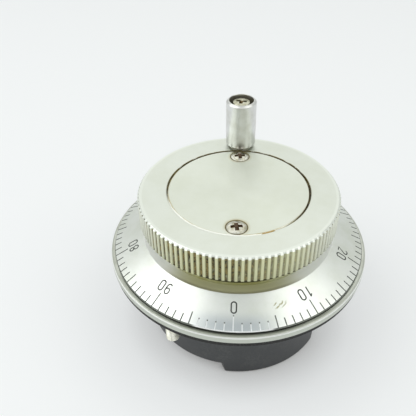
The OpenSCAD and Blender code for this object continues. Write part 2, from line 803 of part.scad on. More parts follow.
module stem_hole(z0, z1) {
    translate([0, 0, z0]) linear_extrude(z1 - z0) intersection() {
        circle(d = stem_d);
        translate([-stem_d, -stem_d]) square([2 * stem_d, 1.5 * stem_d - stem_flat]);
    }
}

module handwheel() {
    r = grip_d / 2;
    color("whitesmoke") difference() {
        rotate_extrude() polygon([
            [0, z_boss], [boss_r, z_boss], [boss_r, z_ceiling], [cavity_d / 2, z_ceiling],
            [cavity_d / 2, z_under + spigot_short], [spigot_d / 2, z_under + spigot_short],
            [spigot_d / 2, z_land], [neck_d / 2, z_land], [neck_d / 2, z_grip],
            [r - grip_lower_chamfer, z_grip], [r, z_grip + grip_lower_chamfer],
            [r, z_face - grip_chamfer], [r - grip_chamfer, z_face],
            [cover_d / 2 + cover_gap, z_face], [cover_d / 2 + cover_gap, z_cover],
            [pocket_r, z_cover], [pocket_r, z_washer], [0, z_washer]
        ]);
        for (i = [0:flute_count - 1])
            at(r - flute_depth + flute_d / 2, i * 360 / flute_count, z_grip - e)
                cylinder(d = flute_d, h = grip_h + 2 * e, $fn = 24);
        stem_hole(z_boss - e, z_washer + e);
        for (a = [0, 180])
            at(cover_screw_r, knob_angle + a, z_cover - cover_screw_l)
                cylinder(d = cover_screw_d, h = cover_screw_l + e);
        at(crank_r, knob_angle, z_face - knob_screw_l) cylinder(d = knob_screw_d, h = knob_screw_l + e);
        for (a = dial_screw_angles)
            at(dial_screw_r, a, z_land - e)
                cylinder(d = dial_screw_d, h = dial_screw_l + e);
    }
}

module graduation(k) {
    reach = k % 10 == 0 ? mark_long : k % 5 == 0 ? mark_medium : mark_short;
    length = reach / cos(cone_slope);
    at(dial_d / 2, zero_angle + k * mark_step, z_edge) rotate([0, cone_slope, 0])
        translate([-length, -mark_w / 2, -mark_depth]) cube([length + e, mark_w, mark_depth + e]);
}

module dial_ring() {
    r = dial_d / 2;
    color("white") difference() {
        rotate_extrude() polygon([
            [spigot_d / 2 + 0.05, z_under], [dial_hollow_d / 2, z_under],
            [dial_hollow_d / 2 + z_under - z_dial, z_dial], [r, z_dial], [r, z_edge],
            [land_d / 2, z_land], [spigot_d / 2 + 0.05, z_land]
        ]);
        for (k = [0:marks - 1]) graduation(k);
        for (a = dial_screw_angles) at(dial_screw_r, a, 0) {
            translate([0, 0, z_under - e]) cylinder(d = dial_screw_d + 2 * hole_clear, h = dial_t + 2 * e);
            translate([0, 0, z_under])
                cylinder(r1 = dial_screw_d - 0.2, r2 = dial_screw_d / 2, h = dial_screw_d / 2);
        }
    }
}

module dial_screws() {
    color("silver") for (a = dial_screw_angles) at(dial_screw_r, a, z_under) difference() {
        union() {
            cylinder(r1 = dial_screw_d - 0.2, r2 = dial_screw_d / 2, h = dial_screw_d / 2);
            cylinder(d = dial_screw_d, h = dial_t + dial_screw_l);
        }
        mirror([0, 0, 1]) cross_recess(dial_screw_d, 0.7);
    }
}

module hub_washer() {
    color("silver") ring(hub_washer_d / 2, stem_d / 2, z_washer, z_nut);
}

module hub_nut() {
    color("silver") difference() {
        translate([0, 0, z_nut]) rotate([0, 0, 30]) cylinder(d = nut_af / cos(30), h = nut_h, $fn = 6);
        translate([0, 0, z_nut - e]) cylinder(d = stem_d, h = nut_h + 2 * e);
    }
}

// Countersunk cone of a cover screw, widened by a clearance for its seat
module cover_cone(clear) {
    depth = (cover_head_d - cover_screw_d) / 2;
    translate([0, 0, -depth])
        cylinder(r1 = cover_screw_d / 2 + clear, r2 = cover_head_d / 2 + clear, h = depth);
}

module cover_disc() {
    color("whitesmoke") difference() {
        translate([0, 0, z_cover]) cylinder(d = cover_d, h = cover_t);
        for (a = [0, 180]) at(cover_screw_r, knob_angle + a, z_face) {
            translate([0, 0, -cover_t - e])
                cylinder(d = cover_screw_d + 2 * hole_clear, h = cover_t + 2 * e);
            cover_cone(hole_clear);
            translate([0, 0, -0.01]) cylinder(r = cover_head_d / 2 + hole_clear, h = e);
        }
    }
}

module cover_screws() {
    dome = 0.5;
    r = cover_head_d / 2;
    big = (r * r + dome * dome) / (2 * dome);
    color("silver") for (a = [0, 180]) at(cover_screw_r, knob_angle + a, z_face) difference() {
        union() {
            cover_cone(0);
            translate([0, 0, -cover_t - cover_screw_l])
                cylinder(d = cover_screw_d, h = cover_t + cover_screw_l);
            intersection() {
                translate([0, 0, dome - big]) sphere(r = big);
                cylinder(r = r, h = dome + e);
            }
        }
        translate([0, 0, dome]) rotate([0, 0, 45]) cross_recess(cover_head_d * recess_share, 1.5);
    }
}

// ---- Knob group ----

module knob_screw() {
    z_head = z_knob_floor + end_play;
    top = z_head + knob_head_h;
    color("silver") at(crank_r, knob_angle) difference() {
        rotate_extrude() polygon([
            [0, z_face - knob_screw_l], [knob_screw_d / 2, z_face - knob_screw_l],
            [knob_screw_d / 2, z_face], [shoulder_d / 2, z_face], [shoulder_d / 2, z_head],
            [knob_head_d / 2, z_head], [knob_head_d / 2, top - 0.7], [knob_head_d / 2 - 0.8, top],
            [0, top]
        ]);
        translate([0, 0, top]) cross_recess(knob_head_d * recess_share, 1.6);
    }
}

module knob_washer() {
    color("white") at(crank_r, knob_angle)
        ring(knob_washer_d / 2, shoulder_d / 2 + turn_clear, z_face, z_face + knob_washer_t);
}

module crank_knob() {
    r = knob_d / 2;
    color("gainsboro") at(crank_r, knob_angle) rotate_extrude() polygon([
        [bush_d / 2, z_knob], [r - knob_chamfer, z_knob], [r, z_knob + knob_chamfer],
        [r, z_knob_top - knob_chamfer], [r - knob_chamfer, z_knob_top],
        [knob_recess_d / 2, z_knob_top], [knob_recess_d / 2, z_knob_floor], [bush_d / 2, z_knob_floor]
    ]);
}

module knob_bush() {
    color("black") at(crank_r, knob_angle) ring(bush_d / 2, knob_bore, z_knob, z_knob_floor);
}

bezel_flange();
panel_gasket();
mounting_studs();
housing();
housing_screws();
dust_seal();
outer_race(z_front_bearing);  // front_outer_race
outer_race(z_rear_bearing);  // rear_outer_race
hub_circlip();
preload_washer();
detent_stator();
detent_magnet();
stator_screws();
encoder_board();
encoder_sensor();
board_screws();
terminal_block();
terminal_contacts();
terminal_screws();
shaft();
inner_race(z_front_bearing);  // front_inner_race
inner_race(z_rear_bearing);  // rear_inner_race
bearing_spacer();
shaft_circlip();
detent_rotor();
rotor_set_screw();
code_disc();
code_clamp();
handwheel();
dial_ring();
dial_screws();
hub_washer();
hub_nut();
cover_disc();
cover_screws();
knob_screw();
knob_washer();
crank_knob();
knob_bush();
cage(z_front_bearing);  // front_cage
cage(z_rear_bearing);  // rear_cage
ball_set(z_front_bearing);  // front_balls
ball_set(z_rear_bearing);  // rear_balls
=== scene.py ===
import math
import bmesh
import bpy
from mathutils import Matrix, Vector


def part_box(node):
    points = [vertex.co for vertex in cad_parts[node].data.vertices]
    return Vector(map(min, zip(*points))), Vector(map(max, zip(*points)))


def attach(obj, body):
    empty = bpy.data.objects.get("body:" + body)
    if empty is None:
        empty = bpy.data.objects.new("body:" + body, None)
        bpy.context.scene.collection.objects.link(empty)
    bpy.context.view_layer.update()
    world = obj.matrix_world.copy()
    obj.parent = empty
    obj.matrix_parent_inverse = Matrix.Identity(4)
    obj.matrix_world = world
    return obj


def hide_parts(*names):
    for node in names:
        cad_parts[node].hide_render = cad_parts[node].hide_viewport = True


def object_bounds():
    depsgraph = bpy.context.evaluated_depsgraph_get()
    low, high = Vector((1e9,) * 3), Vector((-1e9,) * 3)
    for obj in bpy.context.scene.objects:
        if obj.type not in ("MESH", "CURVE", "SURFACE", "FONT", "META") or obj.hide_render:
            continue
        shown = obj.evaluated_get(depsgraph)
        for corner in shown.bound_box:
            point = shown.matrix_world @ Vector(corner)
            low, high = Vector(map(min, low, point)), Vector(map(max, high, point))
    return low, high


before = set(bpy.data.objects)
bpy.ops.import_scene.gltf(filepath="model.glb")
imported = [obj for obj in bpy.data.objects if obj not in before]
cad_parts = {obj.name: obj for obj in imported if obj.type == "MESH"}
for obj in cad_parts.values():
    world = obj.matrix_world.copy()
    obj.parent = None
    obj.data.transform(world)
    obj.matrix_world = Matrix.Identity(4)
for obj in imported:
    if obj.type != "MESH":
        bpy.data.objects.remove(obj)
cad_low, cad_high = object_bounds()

# ---- Camera ----
# It stands in front of the wheel and above it, and looks past the shaft at the dial's
# left half, so that the crank knob stands clear at the top.
camera_turn = math.radians(33.68)
camera_lift = math.radians(38.18)
camera_roll = math.radians(-1.15)
camera_reach = 0.16043
camera_target = Vector((-0.00763, -0.00508, 0.04251))
camera_back = Vector((
    math.sin(camera_turn) * math.cos(camera_lift),
    -math.cos(camera_turn) * math.cos(camera_lift),
    math.sin(camera_lift),
))


def shown(obj):
    # A new object, put into the scene
    bpy.context.scene.collection.objects.link(obj)
    return obj


camera = shown(bpy.data.objects.new("camera", bpy.data.cameras.new("camera")))
camera.data.sensor_width = 36
camera.data.lens = 45.28
camera.data.clip_start = 0.005
camera.data.clip_end = 20
camera.rotation_mode = "QUATERNION"
camera.location = camera_target + camera_back * camera_reach
camera.rotation_quaternion = (
    (-camera_back).to_track_quat("-Z", "Y").to_matrix() @ Matrix.Rotation(camera_roll, 3, "Z")
).to_quaternion()
bpy.context.scene.camera = camera


# ---- Floor and light ----
# The part stands on a plain pale sheet in soft studio light: a broad lamp on each side, a
# weaker one in front and one behind, and a pale surround.
class Finish:
    # One procedural material: its shader, and short calls that add nodes to it
    def __init__(self, name, tree=None):
        if tree is None:
            self.material = bpy.data.materials.new(name)
            self.material.use_nodes = True
            tree = self.material.node_tree
            self.shader = tree.nodes["Principled BSDF"]
        self.tree = tree

    def put(self, socket, value):
        # An output is linked, an output with its levels goes through a ramp, a plain value is set
        if isinstance(value, tuple) and isinstance(value[0], bpy.types.NodeSocket):
            value = self.ramp(*value)
        if isinstance(value, bpy.types.NodeSocket):
            self.tree.links.new(value, socket)
        else:
            socket.default_value = value

    def node(self, kind, operation=None, **values):
        made = self.tree.nodes.new(kind)
        if operation:
            made.operation = operation
        for socket, value in values.items():
            self.put(made.inputs[socket.replace("_", " ")], value)
        return made

    def math(self, operation, *values):
        made = self.node("ShaderNodeMath", operation)
        for socket, value in zip(made.inputs, values):
            self.put(socket, value)
        return made.outputs[0]

    def plus(self, first, second):
        return self.math("ADD", first, second)

    def minus(self, first, second):
        return self.math("SUBTRACT", first, second)

    def times(self, *values):
        # The product: for masks, a mask that holds where all of them do
        product = values[0]
        for value in values[1:]:
            product = self.math("MULTIPLY", product, value)
        return product

    def ramp(self, value, low, high, to_low=0.0, to_high=1.0):
        made = self.node("ShaderNodeMapRange", Value=value, From_Min=low, From_Max=high,
                         To_Min=to_low, To_Max=to_high)
        made.interpolation_type = "SMOOTHSTEP"
        return made.outputs["Result"]

    def band(self, value, start, full, fading, end):
        # A mask that holds between two levels of a value
        return self.times((value, start, full), (value, end, fading))

    def towards(self, angle, side):
        # From 1 on the side at so many degrees to -1 on the far side
        return self.math("COSINE", self.minus(angle, math.radians(side)))

    def blend(self, factor, first, second):
        made = self.tree.nodes.new("ShaderNodeMix")
        made.data_type = "RGBA"
        for socket, value in zip((made.inputs["Factor"], made.inputs[6], made.inputs[7]), (factor, first, second)):
            self.put(socket, value)
        return made.outputs[2]

    def layered(self, tone, *coats):
        # A tone under thin coats, each with its mask and its own tone
        for mask, coat in coats:
            tone = self.blend(mask, tone, coat)
        return tone

    def place(self):
        return self.node("ShaderNodeTexCoord").outputs["Object"]

    def noise(self, vector, scale, detail=3.0, rough=0.5):
        made = self.node("ShaderNodeTexNoise", Vector=vector, Scale=scale, Detail=detail, Roughness=rough)
        return made.outputs["Fac"]

    def effect(self, group, **values):
        made = self.node("ShaderNodeGroup")
        made.node_tree = group
        for socket, value in values.items():
            self.put(made.inputs[socket], value)
        return made.outputs

    def surface(self, **values):
        for socket, value in values.items():
            self.put(self.shader.inputs[socket.replace("_", " ")], value)

    def raise_by(self, height, distance, strength):
        made = self.node("ShaderNodeBump", Height=height, Distance=distance, Strength=strength)
        self.put(self.shader.inputs["Normal"], made.outputs["Normal"])


sheet_white = (0.903, 0.922, 0.93, 1)
sheet_lit = [value * 0.52 for value in sheet_white[:3]] + [1]
sheet_glow = [value * 0.46 for value in sheet_white[:3]] + [1]
painted_shadow_brown, painted_shadow_reach = (0.03, 0.02, 0.012, 1), 0.012
sheet_half, sheet_drop = 3, 0.00005
sheet = shown(bpy.data.objects.new("floor_sheet", bpy.data.meshes.new("floor_sheet")))
sheet_bm = bmesh.new()
bmesh.ops.create_grid(sheet_bm, x_segments=1, y_segments=1, size=sheet_half)
sheet_bm.to_mesh(sheet.data)
sheet_bm.free()
sheet.location.z = cad_low.z - sheet_drop
sheet_paint = Finish("floor_sheet")
rays = sheet_paint.node("ShaderNodeLightPath").outputs
seen = sheet_paint.math("MAXIMUM", rays["Is Camera Ray"], rays["Is Glossy Ray"])
seen = sheet_paint.math("MAXIMUM", seen, rays["Is Transmission Ray"])
# The sheet's glow turns brown where the part stands close above it: a painted contact shadow
shadow_occlusion = sheet_paint.node("ShaderNodeAmbientOcclusion", Distance=painted_shadow_reach)
shadow_occlusion.samples = 8
sheet_paint.surface(
    Base_Color=sheet_paint.blend(seen, sheet_white, sheet_lit),
    Emission_Color=sheet_paint.blend(shadow_occlusion.outputs["AO"], painted_shadow_brown, sheet_glow),
    Emission_Strength=seen, Roughness=0.9, Specular_IOR_Level=0.1,
)
sheet.data.materials.append(sheet_paint.material)

# The surround is brightest behind the part and dim on the side that it is seen from
world = bpy.data.worlds.new("studio")
bpy.context.scene.world = world
world.use_nodes = True
sky = Finish("studio", world.node_tree)
behind = sky.node("ShaderNodeVectorMath", "DOT_PRODUCT", Vector=sky.node("ShaderNodeTexCoord").outputs["Generated"])
behind.inputs[1].default_value = (-math.sin(camera_turn), math.cos(camera_turn), 0.25)
brightness = sky.ramp(behind.outputs["Value"], -0.75, 0.45, 0.22, 0.7)
backdrop = sky.times(sky.node("ShaderNodeLightPath").outputs["Is Camera Ray"], 0.82)
surround = world.node_tree.nodes["Background"]
surround.inputs["Color"].default_value = (0.945, 0.975, 0.945, 1)
sky.put(surround.inputs["Strength"], sky.math("MAXIMUM", backdrop, brightness))


def studio_lamp(name, place, size, power, shade):
    lamp = shown(bpy.data.objects.new(name, bpy.data.lights.new(name, "AREA")))
    lamp.data.size = size
    lamp.data.energy = power
    lamp.data.color = shade
    lamp.location = place
    lamp.rotation_mode = "QUATERNION"
    lamp.rotation_quaternion = (Vector(place) - camera_target).to_track_quat("Z", "Y")


front_reach = 0.58
studio_lamp("left_lamp", (-0.455, -0.518, 0.62), 0.9, 3.7, (1, 1, 1))
studio_lamp("right_lamp", (0.62, 0.06, 0.62), 0.7, 1.9, (1, 1, 0.98))
studio_lamp("front_lamp", (front_reach * math.sin(camera_turn), -front_reach * math.cos(camera_turn), 0.56),
            0.5, 0.8, (1, 1, 1))
studio_lamp("back_lamp", (-0.3, 0.45, 0.75), 0.9, 1.0, (1, 0.99, 0.97))

bpy.context.scene.view_settings.view_transform = "Standard"


# ---- Housing ----
# The housing is a black moulded cup, open at the back for the terminals. It stands on two
# feet of its rear rim, with a cable gap on each side. Fine matte texture, a little dusty.
def tint(red, green, blue):
    # A colour as it is seen, 0 to 255, turned into the linear values of a shader
    def linear(value):
        value = value / 255
        return value / 12.92 if value < 0.04045 else ((value + 0.055) / 1.055) ** 2.4
    return (linear(red), linear(green), linear(blue), 1)


def effect_group(name, outputs, **inputs):
    # A shader node group with named inputs and outputs, for a Finish to fill in
    group = bpy.data.node_groups.new(name, "ShaderNodeTree")
    group.interface.new_socket("Vector", in_out="INPUT", socket_type="NodeSocketVector")
    for label, value in inputs.items():
        socket = group.interface.new_socket(label, in_out="INPUT", socket_type="NodeSocketFloat")
        socket.default_value = value
    for label in outputs:
        group.interface.new_socket(label, in_out="OUTPUT", socket_type="NodeSocketFloat")
    given, result = group.nodes.new("NodeGroupInput").outputs, group.nodes.new("NodeGroupOutput").inputs
    return group, Finish(name, group), given, result


# Settled dust: soft clouds broken up by fine specks
dust_group, work, given, result = effect_group(
    "settled_dust", ("Mask", "Height"), Cloud=60.0, Speck=900.0, Amount=0.5)
cloud = work.noise(given["Vector"], given["Cloud"], 4.0, 0.6)
speck = work.noise(given["Vector"], given["Speck"], 2.0, 0.7)
work.put(result["Mask"], work.times((cloud, 0.45, 0.75), (speck, 0.35, 0.8), given["Amount"]))
work.put(result["Height"], speck)


def dress(finish, *nodes):
    # Gives CAD nodes a finish in place of their plain colour
    for node in nodes:
        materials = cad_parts[node].data.materials
        materials.clear()
        materials.append(finish.material)


moulded = Finish("housing_plastic")
dust = moulded.effect(dust_group, Vector=moulded.place(), Cloud=70.0, Speck=1500.0, Amount=0.5)
moulded.surface(
    Base_Color=moulded.blend(dust["Mask"], tint(56, 58, 60), tint(120, 122, 118)),
    Roughness=(dust["Mask"], 0.0, 0.5, 0.42, 0.75),
)
moulded.raise_by(dust["Height"], 0.00004, 0.5)
dress(moulded, "housing")


# ---- Panel gasket and dust seal ----
# The gasket is punched from black rubber sheet and is pinched between bezel and panel.
# The dust seal is a ring of the same rubber in a groove under the dial.
def mottled(name, grain, first, second, share=None, bump=None, pits=None, lay=1, **values):
    # Two tones mixed by one noise, which also drives every value given as four levels
    finish = Finish(name)
    spot = finish.place()
    if lay > 1:
        spot = finish.node("ShaderNodeMapping", Vector=spot, Scale=(1, 1, lay)).outputs[0]
    cloud = finish.noise(spot, *grain)
    finish.surface(
        Base_Color=finish.blend((cloud, *share) if share else cloud, tint(*first), tint(*second)),
        **{socket: (cloud, *value) if isinstance(value, tuple) else value
           for socket, value in values.items()})
    if bump:
        finish.raise_by(finish.noise(spot, *pits) if pits else cloud, *bump)
    return finish


rubber = mottled("gasket_rubber", (1800.0, 3.0, 0.6), (24, 24, 24), (62, 62, 60), share=(0.4, 0.9),
                 bump=(0.00003, 0.5), Roughness=0.7)
dress(rubber, "panel_gasket", "dust_seal")

# ---- Mounting studs ----
# Three M4 steel studs, zinc plated, are pressed into the back of the bezel. Each has a
# rolled thread that runs up to the gasket, and a turned lead-in at its end.
mm = 0.001
stud_places = [(36 * mm, math.radians(angle)) for angle in (270, 30, 150)]
stud_crest, stud_root, stud_knurl, stud_tip, stud_sides = 2 * mm, 1.72 * mm, 2.2 * mm, 1 * mm, 32
thread_pitch, thread_top, thread_end, lead_in = 0.7 * mm, 26.6 * mm, 26.8 * mm, 0.6 * mm
rows_a_turn = 8


def polar(r, angle, z=0.0, centre=(0, 0)):
    return (centre[0] + r * math.cos(angle), centre[1] + r * math.sin(angle), z)


def shaded(mesh, angle=32):
    # Smooth over curves, sharp at real edges
    mesh.shade_smooth()
    mesh.set_sharp_from_angle(angle=math.radians(angle))
    return mesh


def made(name, bm):
    # A finished mesh as a new object at the origin, with its faces turned outwards
    bmesh.ops.remove_doubles(bm, verts=bm.verts, dist=1e-7)
    bmesh.ops.recalc_face_normals(bm, faces=bm.faces)
    mesh = bpy.data.meshes.new(name)
    bm.to_mesh(mesh)
    bm.free()
    return shown(bpy.data.objects.new(name, shaded(mesh)))


def lofted(bm, rows):
    # Faces between rings of points; the first and last rings are closed with a cap
    rings = [[bm.verts.new(point) for point in row] for row in rows]
    for low, high in zip(rings, rings[1:]):
        for i in range(len(low)):
            k = (i + 1) % len(low)
            bm.faces.new((low[i], low[k], high[k], high[i]))
    bm.faces.new(rings[0][::-1])
    bm.faces.new(rings[-1])


def evaluated(obj):
    # The mesh that an object's curve or modifiers make
    return bpy.data.meshes.new_from_object(obj.evaluated_get(bpy.context.evaluated_depsgraph_get()))


def plain(piece):
    # Applies a piece's modifiers, and leaves it a plain mesh
    result = evaluated(piece)
    result.name = piece.name
    piece.modifiers.clear()
    piece.data = result
    return result


def fitted(piece, body, slot, finish, *nodes):
    # Rides on its body, stands for its CAD nodes and takes its finish
    piece.modifiers.new("even", "WEIGHTED_NORMAL").keep_sharp = True
    plain(piece)
    piece.data.materials.clear()
    piece.data.materials.append(finish.material)
    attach(piece, body)
    if nodes:
        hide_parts(*nodes)


zinc = mottled("zinc_plate", (350.0, 4.0, 0.6), (240, 240, 228), (208, 206, 188), share=(0.35, 0.75),
               bump=(0.00001, 0.4), pits=(2400.0, 2.0), Metallic=(0.3, 0.7, 0.75, 0.45),
               Roughness=(0.3, 0.8, 0.3, 0.5))
stud_low, stud_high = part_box("mounting_studs")
thread_rows = rows_a_turn * round((thread_top - stud_low.z) / thread_pitch)
stud_turns = [2 * math.pi * i / stud_sides for i in range(stud_sides)]
stud_bm = bmesh.new()
for stud_reach, stud_angle in stud_places:
    centre = polar(stud_reach, stud_angle)
    rows = []
    for j in range(thread_rows + 1):
        climb = (thread_top - stud_low.z) * j / thread_rows
        z = stud_low.z + climb
        row = []
        for i, turn in enumerate(stud_turns):
            wave = abs(((z / thread_pitch - i / stud_sides) % 1) * 2 - 1)
            thread = stud_root + (stud_crest - stud_root) * min(1.0, max(0.0, wave * 1.5 - 0.2))
            row.append(polar(min(thread, max(stud_tip, stud_crest - lead_in + climb)), turn, z, centre))
        rows.append(row)
    for r, z in ((stud_crest, thread_top), (stud_crest, thread_end), (stud_knurl, thread_end),
                 (stud_knurl, stud_high.z)):
        rows.append([polar(r, turn, z, centre) for turn in stud_turns])
    lofted(stud_bm, rows)
fitted(made("threaded_studs", stud_bm), "base", "stud_steel", zinc, "mounting_studs")


# ---- Screws of the housing and the board ----
# Small nickel-plated steel screws with cheese heads and a cross recess. The same screw,
# at its own size, is set round a circle where three of them hold a part.
def softened(outline, size, closed=True):
    # The outline of a turned part with a small round at each corner
    points = []
    for i, here in enumerate(outline):
        if not closed and i in (0, len(outline) - 1):
            points.append(here)
            continue
        p, a, b = (Vector(item) for item in (here, outline[i - 1], outline[(i + 1) % len(outline)]))
        reach = min(size, 0.42 * (a - p).length, 0.42 * (b - p).length)
        if here[0] < 1e-6 or reach < 2e-6:
            points.append(here)
            continue
        start, end = p + (a - p).normalized() * reach, p + (b - p).normalized() * reach
        for t in (0, 0.34, 0.66, 1):
            points.append(tuple(start * (1 - t) ** 2 + p * 2 * t * (1 - t) + end * t * t))
    return points


def turned(bm, outline, steps=128, closed=True, centre=(0, 0)):
    # A part turned on a lathe: its half section swept once round, in so many steps or at given angles
    turns = steps if isinstance(steps, list) else [2 * math.pi * i / steps for i in range(steps)]
    columns = []
    for r, z in outline:
        if r < 1e-7:
            columns.append([bm.verts.new((*centre[:2], z))] * len(turns))
        else:
            columns.append([bm.verts.new(polar(r, turn, z, centre)) for turn in turns])
    for first, second in zip(columns, columns[1:] + (columns[:1] if closed else [])):
        for i in range(len(turns)):
            k = (i + 1) % len(turns)
            corners = list(dict.fromkeys((first[i], first[k], second[k], second[i])))
            if len(corners) > 2:
                bm.faces.new(corners)


def lathed(name, outline, steps=64, closed=False, centre=(0, 0)):
    bm = bmesh.new()
    turned(bm, outline, steps, closed, centre)
    return made(name, bm)


def cut(piece, *cutters):
    # Takes the cutters' shapes out of a piece, and removes the cutters
    for cutter in cutters:
        tool = piece.modifiers.new("cut", "BOOLEAN")
        tool.operation = "DIFFERENCE"
        tool.solver = "MANIFOLD"
        tool.object = cutter
    mesh = plain(piece)
    for cutter in cutters:
        bpy.data.objects.remove(cutter)
    return shaded(mesh)


def cross_punch(span, depth, top, wing=0.12):
    # The punch that makes a cross recess: four tapered wings that run to a point
    bm = bmesh.new()
    rows = []
    for z, share in ((top + depth * 0.3, 1.1), (top, 1.0), (top - depth * 0.72, 0.62), (top - depth, 0.16)):
        far = span / 2 * share
        near = min(span * wing * (0.7 + 0.3 * share), far * 0.8)
        rows.append([(x * math.cos(turn) - y * math.sin(turn), x * math.sin(turn) + y * math.cos(turn), z)
                     for turn in (0, math.pi / 2, math.pi, math.pi * 1.5)
                     for x, y in ((far, -near), (far, near), (near, near))])
    lofted(bm, rows)
    return made("cross_punch", bm)


def circle_tree(name, *sizes):
    # A Geometry Nodes tree with named inputs, which starts with points round a circle
    tree = bpy.data.node_groups.new(name, "GeometryNodeTree")
    for label, kind in [("Piece", "Geometry"), ("Finish", "Material"), ("Count", "Int")] + [
            (size, "Float") for size in ("Radius", "Height", "First angle") + sizes]:
        tree.interface.new_socket(label, in_out="INPUT", socket_type="NodeSocket" + kind)
    tree.interface.new_socket("Set", in_out="OUTPUT", socket_type="NodeSocketGeometry")
    work = Finish(name, tree)
    given = tree.nodes.new("NodeGroupInput").outputs
    index = work.node("GeometryNodeInputIndex").outputs[0]
    turn = work.plus(given["First angle"], work.math("DIVIDE", work.times(index, 2 * math.pi), given["Count"]))
    place = work.node("ShaderNodeCombineXYZ", X=work.times(given["Radius"], work.math("COSINE", turn)),
                      Y=work.times(given["Radius"], work.math("SINE", turn)), Z=given["Height"])
    points = work.node("GeometryNodePoints", Count=given["Count"], Position=place.outputs[0])
    return work, given, index, turn, points.outputs[0]


def ended(work, given, geometry):
    # The end of a tree: its geometry takes the finish and goes out
    finish = work.node("GeometryNodeSetMaterial", Geometry=geometry, Material=given["Finish"])
    work.tree.links.new(finish.outputs[0], work.tree.nodes.new("NodeGroupOutput").inputs[0])
    return work.tree


def set_round_tree():
    # Copies of one piece round a circle, each turned to face outwards
    work, given, _, turn, points = circle_tree("set_round", "Weld")
    facing = work.node("ShaderNodeCombineXYZ", Z=turn).outputs[0]
    copies = work.node("GeometryNodeInstanceOnPoints", Points=points, Instance=given["Piece"], Rotation=facing)
    real = work.node("GeometryNodeRealizeInstances", Geometry=copies.outputs[0])
    weld = work.node("GeometryNodeMergeByDistance", Geometry=real.outputs[0], Distance=given["Weld"])
    return ended(work, given, weld.outputs[0])


def run_tree(piece, tree, finish, **values):
    # Runs a Geometry Nodes tree on a piece with its own values, and keeps the plain mesh
    values["Finish"] = finish.material
    modifier = piece.modifiers.new(tree.name, "NODES")
    modifier.node_group = tree
    for socket in tree.interface.items_tree:
        label = socket.name.replace(" ", "_")
        if socket.in_out == "INPUT" and label in values:
            modifier[socket.identifier] = values[label]
    return shaded(plain(piece))


set_round = set_round_tree()
screw_round, screw_tip = 0.18 * mm, 0.3 * mm
nickel = mottled("nickel_plate", (500.0, 4.0, 0.6), (206, 205, 198), (165, 160, 146), share=(0.35, 0.75),
                 bump=(0.000008, 0.4), pits=(3000.0, 2.0), Metallic=1.0, Roughness=(0.3, 0.8, 0.2, 0.42))


def cheese_screws(name, thread, length, head, head_height, radius, first_angle, low, up, *nodes):
    # Three cheese-head screws round a circle, each seated at low with its thread up or down
    h, t = head / 2, thread / 2
    screw = lathed(name, softened([
        (0, -head_height), (h, -head_height), (h, 0), (t, 0), (t, length - screw_tip), (t - screw_tip, length),
        (0, length)], screw_round, False), 48)
    half_turn = Matrix.Rotation(math.pi, 4, "X")
    screw.data.transform(half_turn)
    cut(screw, cross_punch(head * 0.62, head_height * 0.7, head_height))
    if up:
        screw.data.transform(half_turn)
    screw.data.transform(Matrix.Translation((0, 0, low)))
    run_tree(screw, set_round, nickel, Count=3, Radius=radius, First_angle=math.radians(first_angle), Weld=1e-8)
    fitted(screw, "base", "screw_steel", nickel, *nodes)


housing_floor = 8.6 * mm
board_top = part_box("encoder_board")[1].z
cheese_screws("housing_screws_made", 3 * mm, 20.6 * mm, 5 * mm, 1.9 * mm, 23.6 * mm, 90, housing_floor, True,
              "housing_screws")
cheese_screws("board_screws_made", 2 * mm, 3.2 * mm, 3.4 * mm, 1.1 * mm, 18 * mm, 30, board_top, False,
              "board_screws")

# ---- Encoder board, sensor and terminals ----
# A green fibreglass board with a forked light sensor. Its terminal block is moulded in
# green plastic and stands through the housing's floor, with brass clamps and slotted screws.
board = Finish("board_solder_mask")
spot = board.place()
weave = board.plus(board.noise(spot, 2600.0, 1.0), board.noise(spot, 300.0, 3.0))
board.surface(
    Base_Color=board.blend((weave, 0.7, 1.4), tint(16, 84, 48), tint(34, 112, 66)),
    Roughness=0.3, Coat_Weight=0.4, Coat_Roughness=0.15,
)
board.raise_by(weave, 0.00001, 0.4)
dress(board, "encoder_board")

black_moulding = mottled("sensor_moulding", (2500.0, 3.0, 0.6), (28, 28, 30), (52, 52, 54), share=(0.3, 0.9),
                         bump=(0.00001, 0.5), Roughness=0.5)
dress(black_moulding, "encoder_sensor")

green_moulding = Finish("terminal_moulding")
spot = green_moulding.place()
fine = green_moulding.noise(spot, 1400.0, 4.0, 0.6)
dust = green_moulding.effect(dust_group, Vector=spot, Cloud=160.0, Speck=2200.0, Amount=0.4)
green_moulding.surface(
    Base_Color=green_moulding.layered(tint(20, 96, 56), (fine, tint(34, 122, 74)), (dust["Mask"], tint(150, 158, 140))),
    Roughness=(fine, 0.2, 0.8, 0.36, 0.55),
)
green_moulding.raise_by(fine, 0.00002, 0.4)
dress(green_moulding, "terminal_block")

brass = mottled("clamp_brass", (900.0, 4.0, 0.6), (212, 190, 130), (160, 128, 74), share=(0.4, 0.8),
                bump=(0.00001, 0.4), Metallic=1.0, Roughness=(0.3, 0.8, 0.25, 0.5))
dress(brass, "terminal_contacts")
dress(nickel, "terminal_screws")

# ---- Detent, code disc and magnet ring ----
# The detent is a toothed iron ring round the shaft, inside a magnet ring between two pole
# plates. Below it turns the etched steel code disc, which the light sensor reads.
iron = mottled("ground_iron", (900.0, 4.0, 0.6), (130, 131, 134), (176, 176, 178), lay=6,
               bump=(0.000008, 0.4), Metallic=1.0, Roughness=(0.3, 0.8, 0.25, 0.45))
ferrite = mottled("magnet_ferrite", (2200.0, 5.0, 0.7), (38, 39, 42), (74, 75, 78),
                  bump=(0.00003, 0.5), Roughness=0.62)
etched = mottled("etched_code_steel", (1200.0, 3.0, 0.5), (168, 172, 178), (198, 200, 202),
                 Metallic=1.0, Roughness=(0.3, 0.8, 0.28, 0.4))
dress(iron, "detent_stator", "detent_rotor", "rotor_set_screw", "code_clamp")
dress(ferrite, "detent_magnet")
dress(etched, "code_disc")
dress(nickel, "stator_screws")

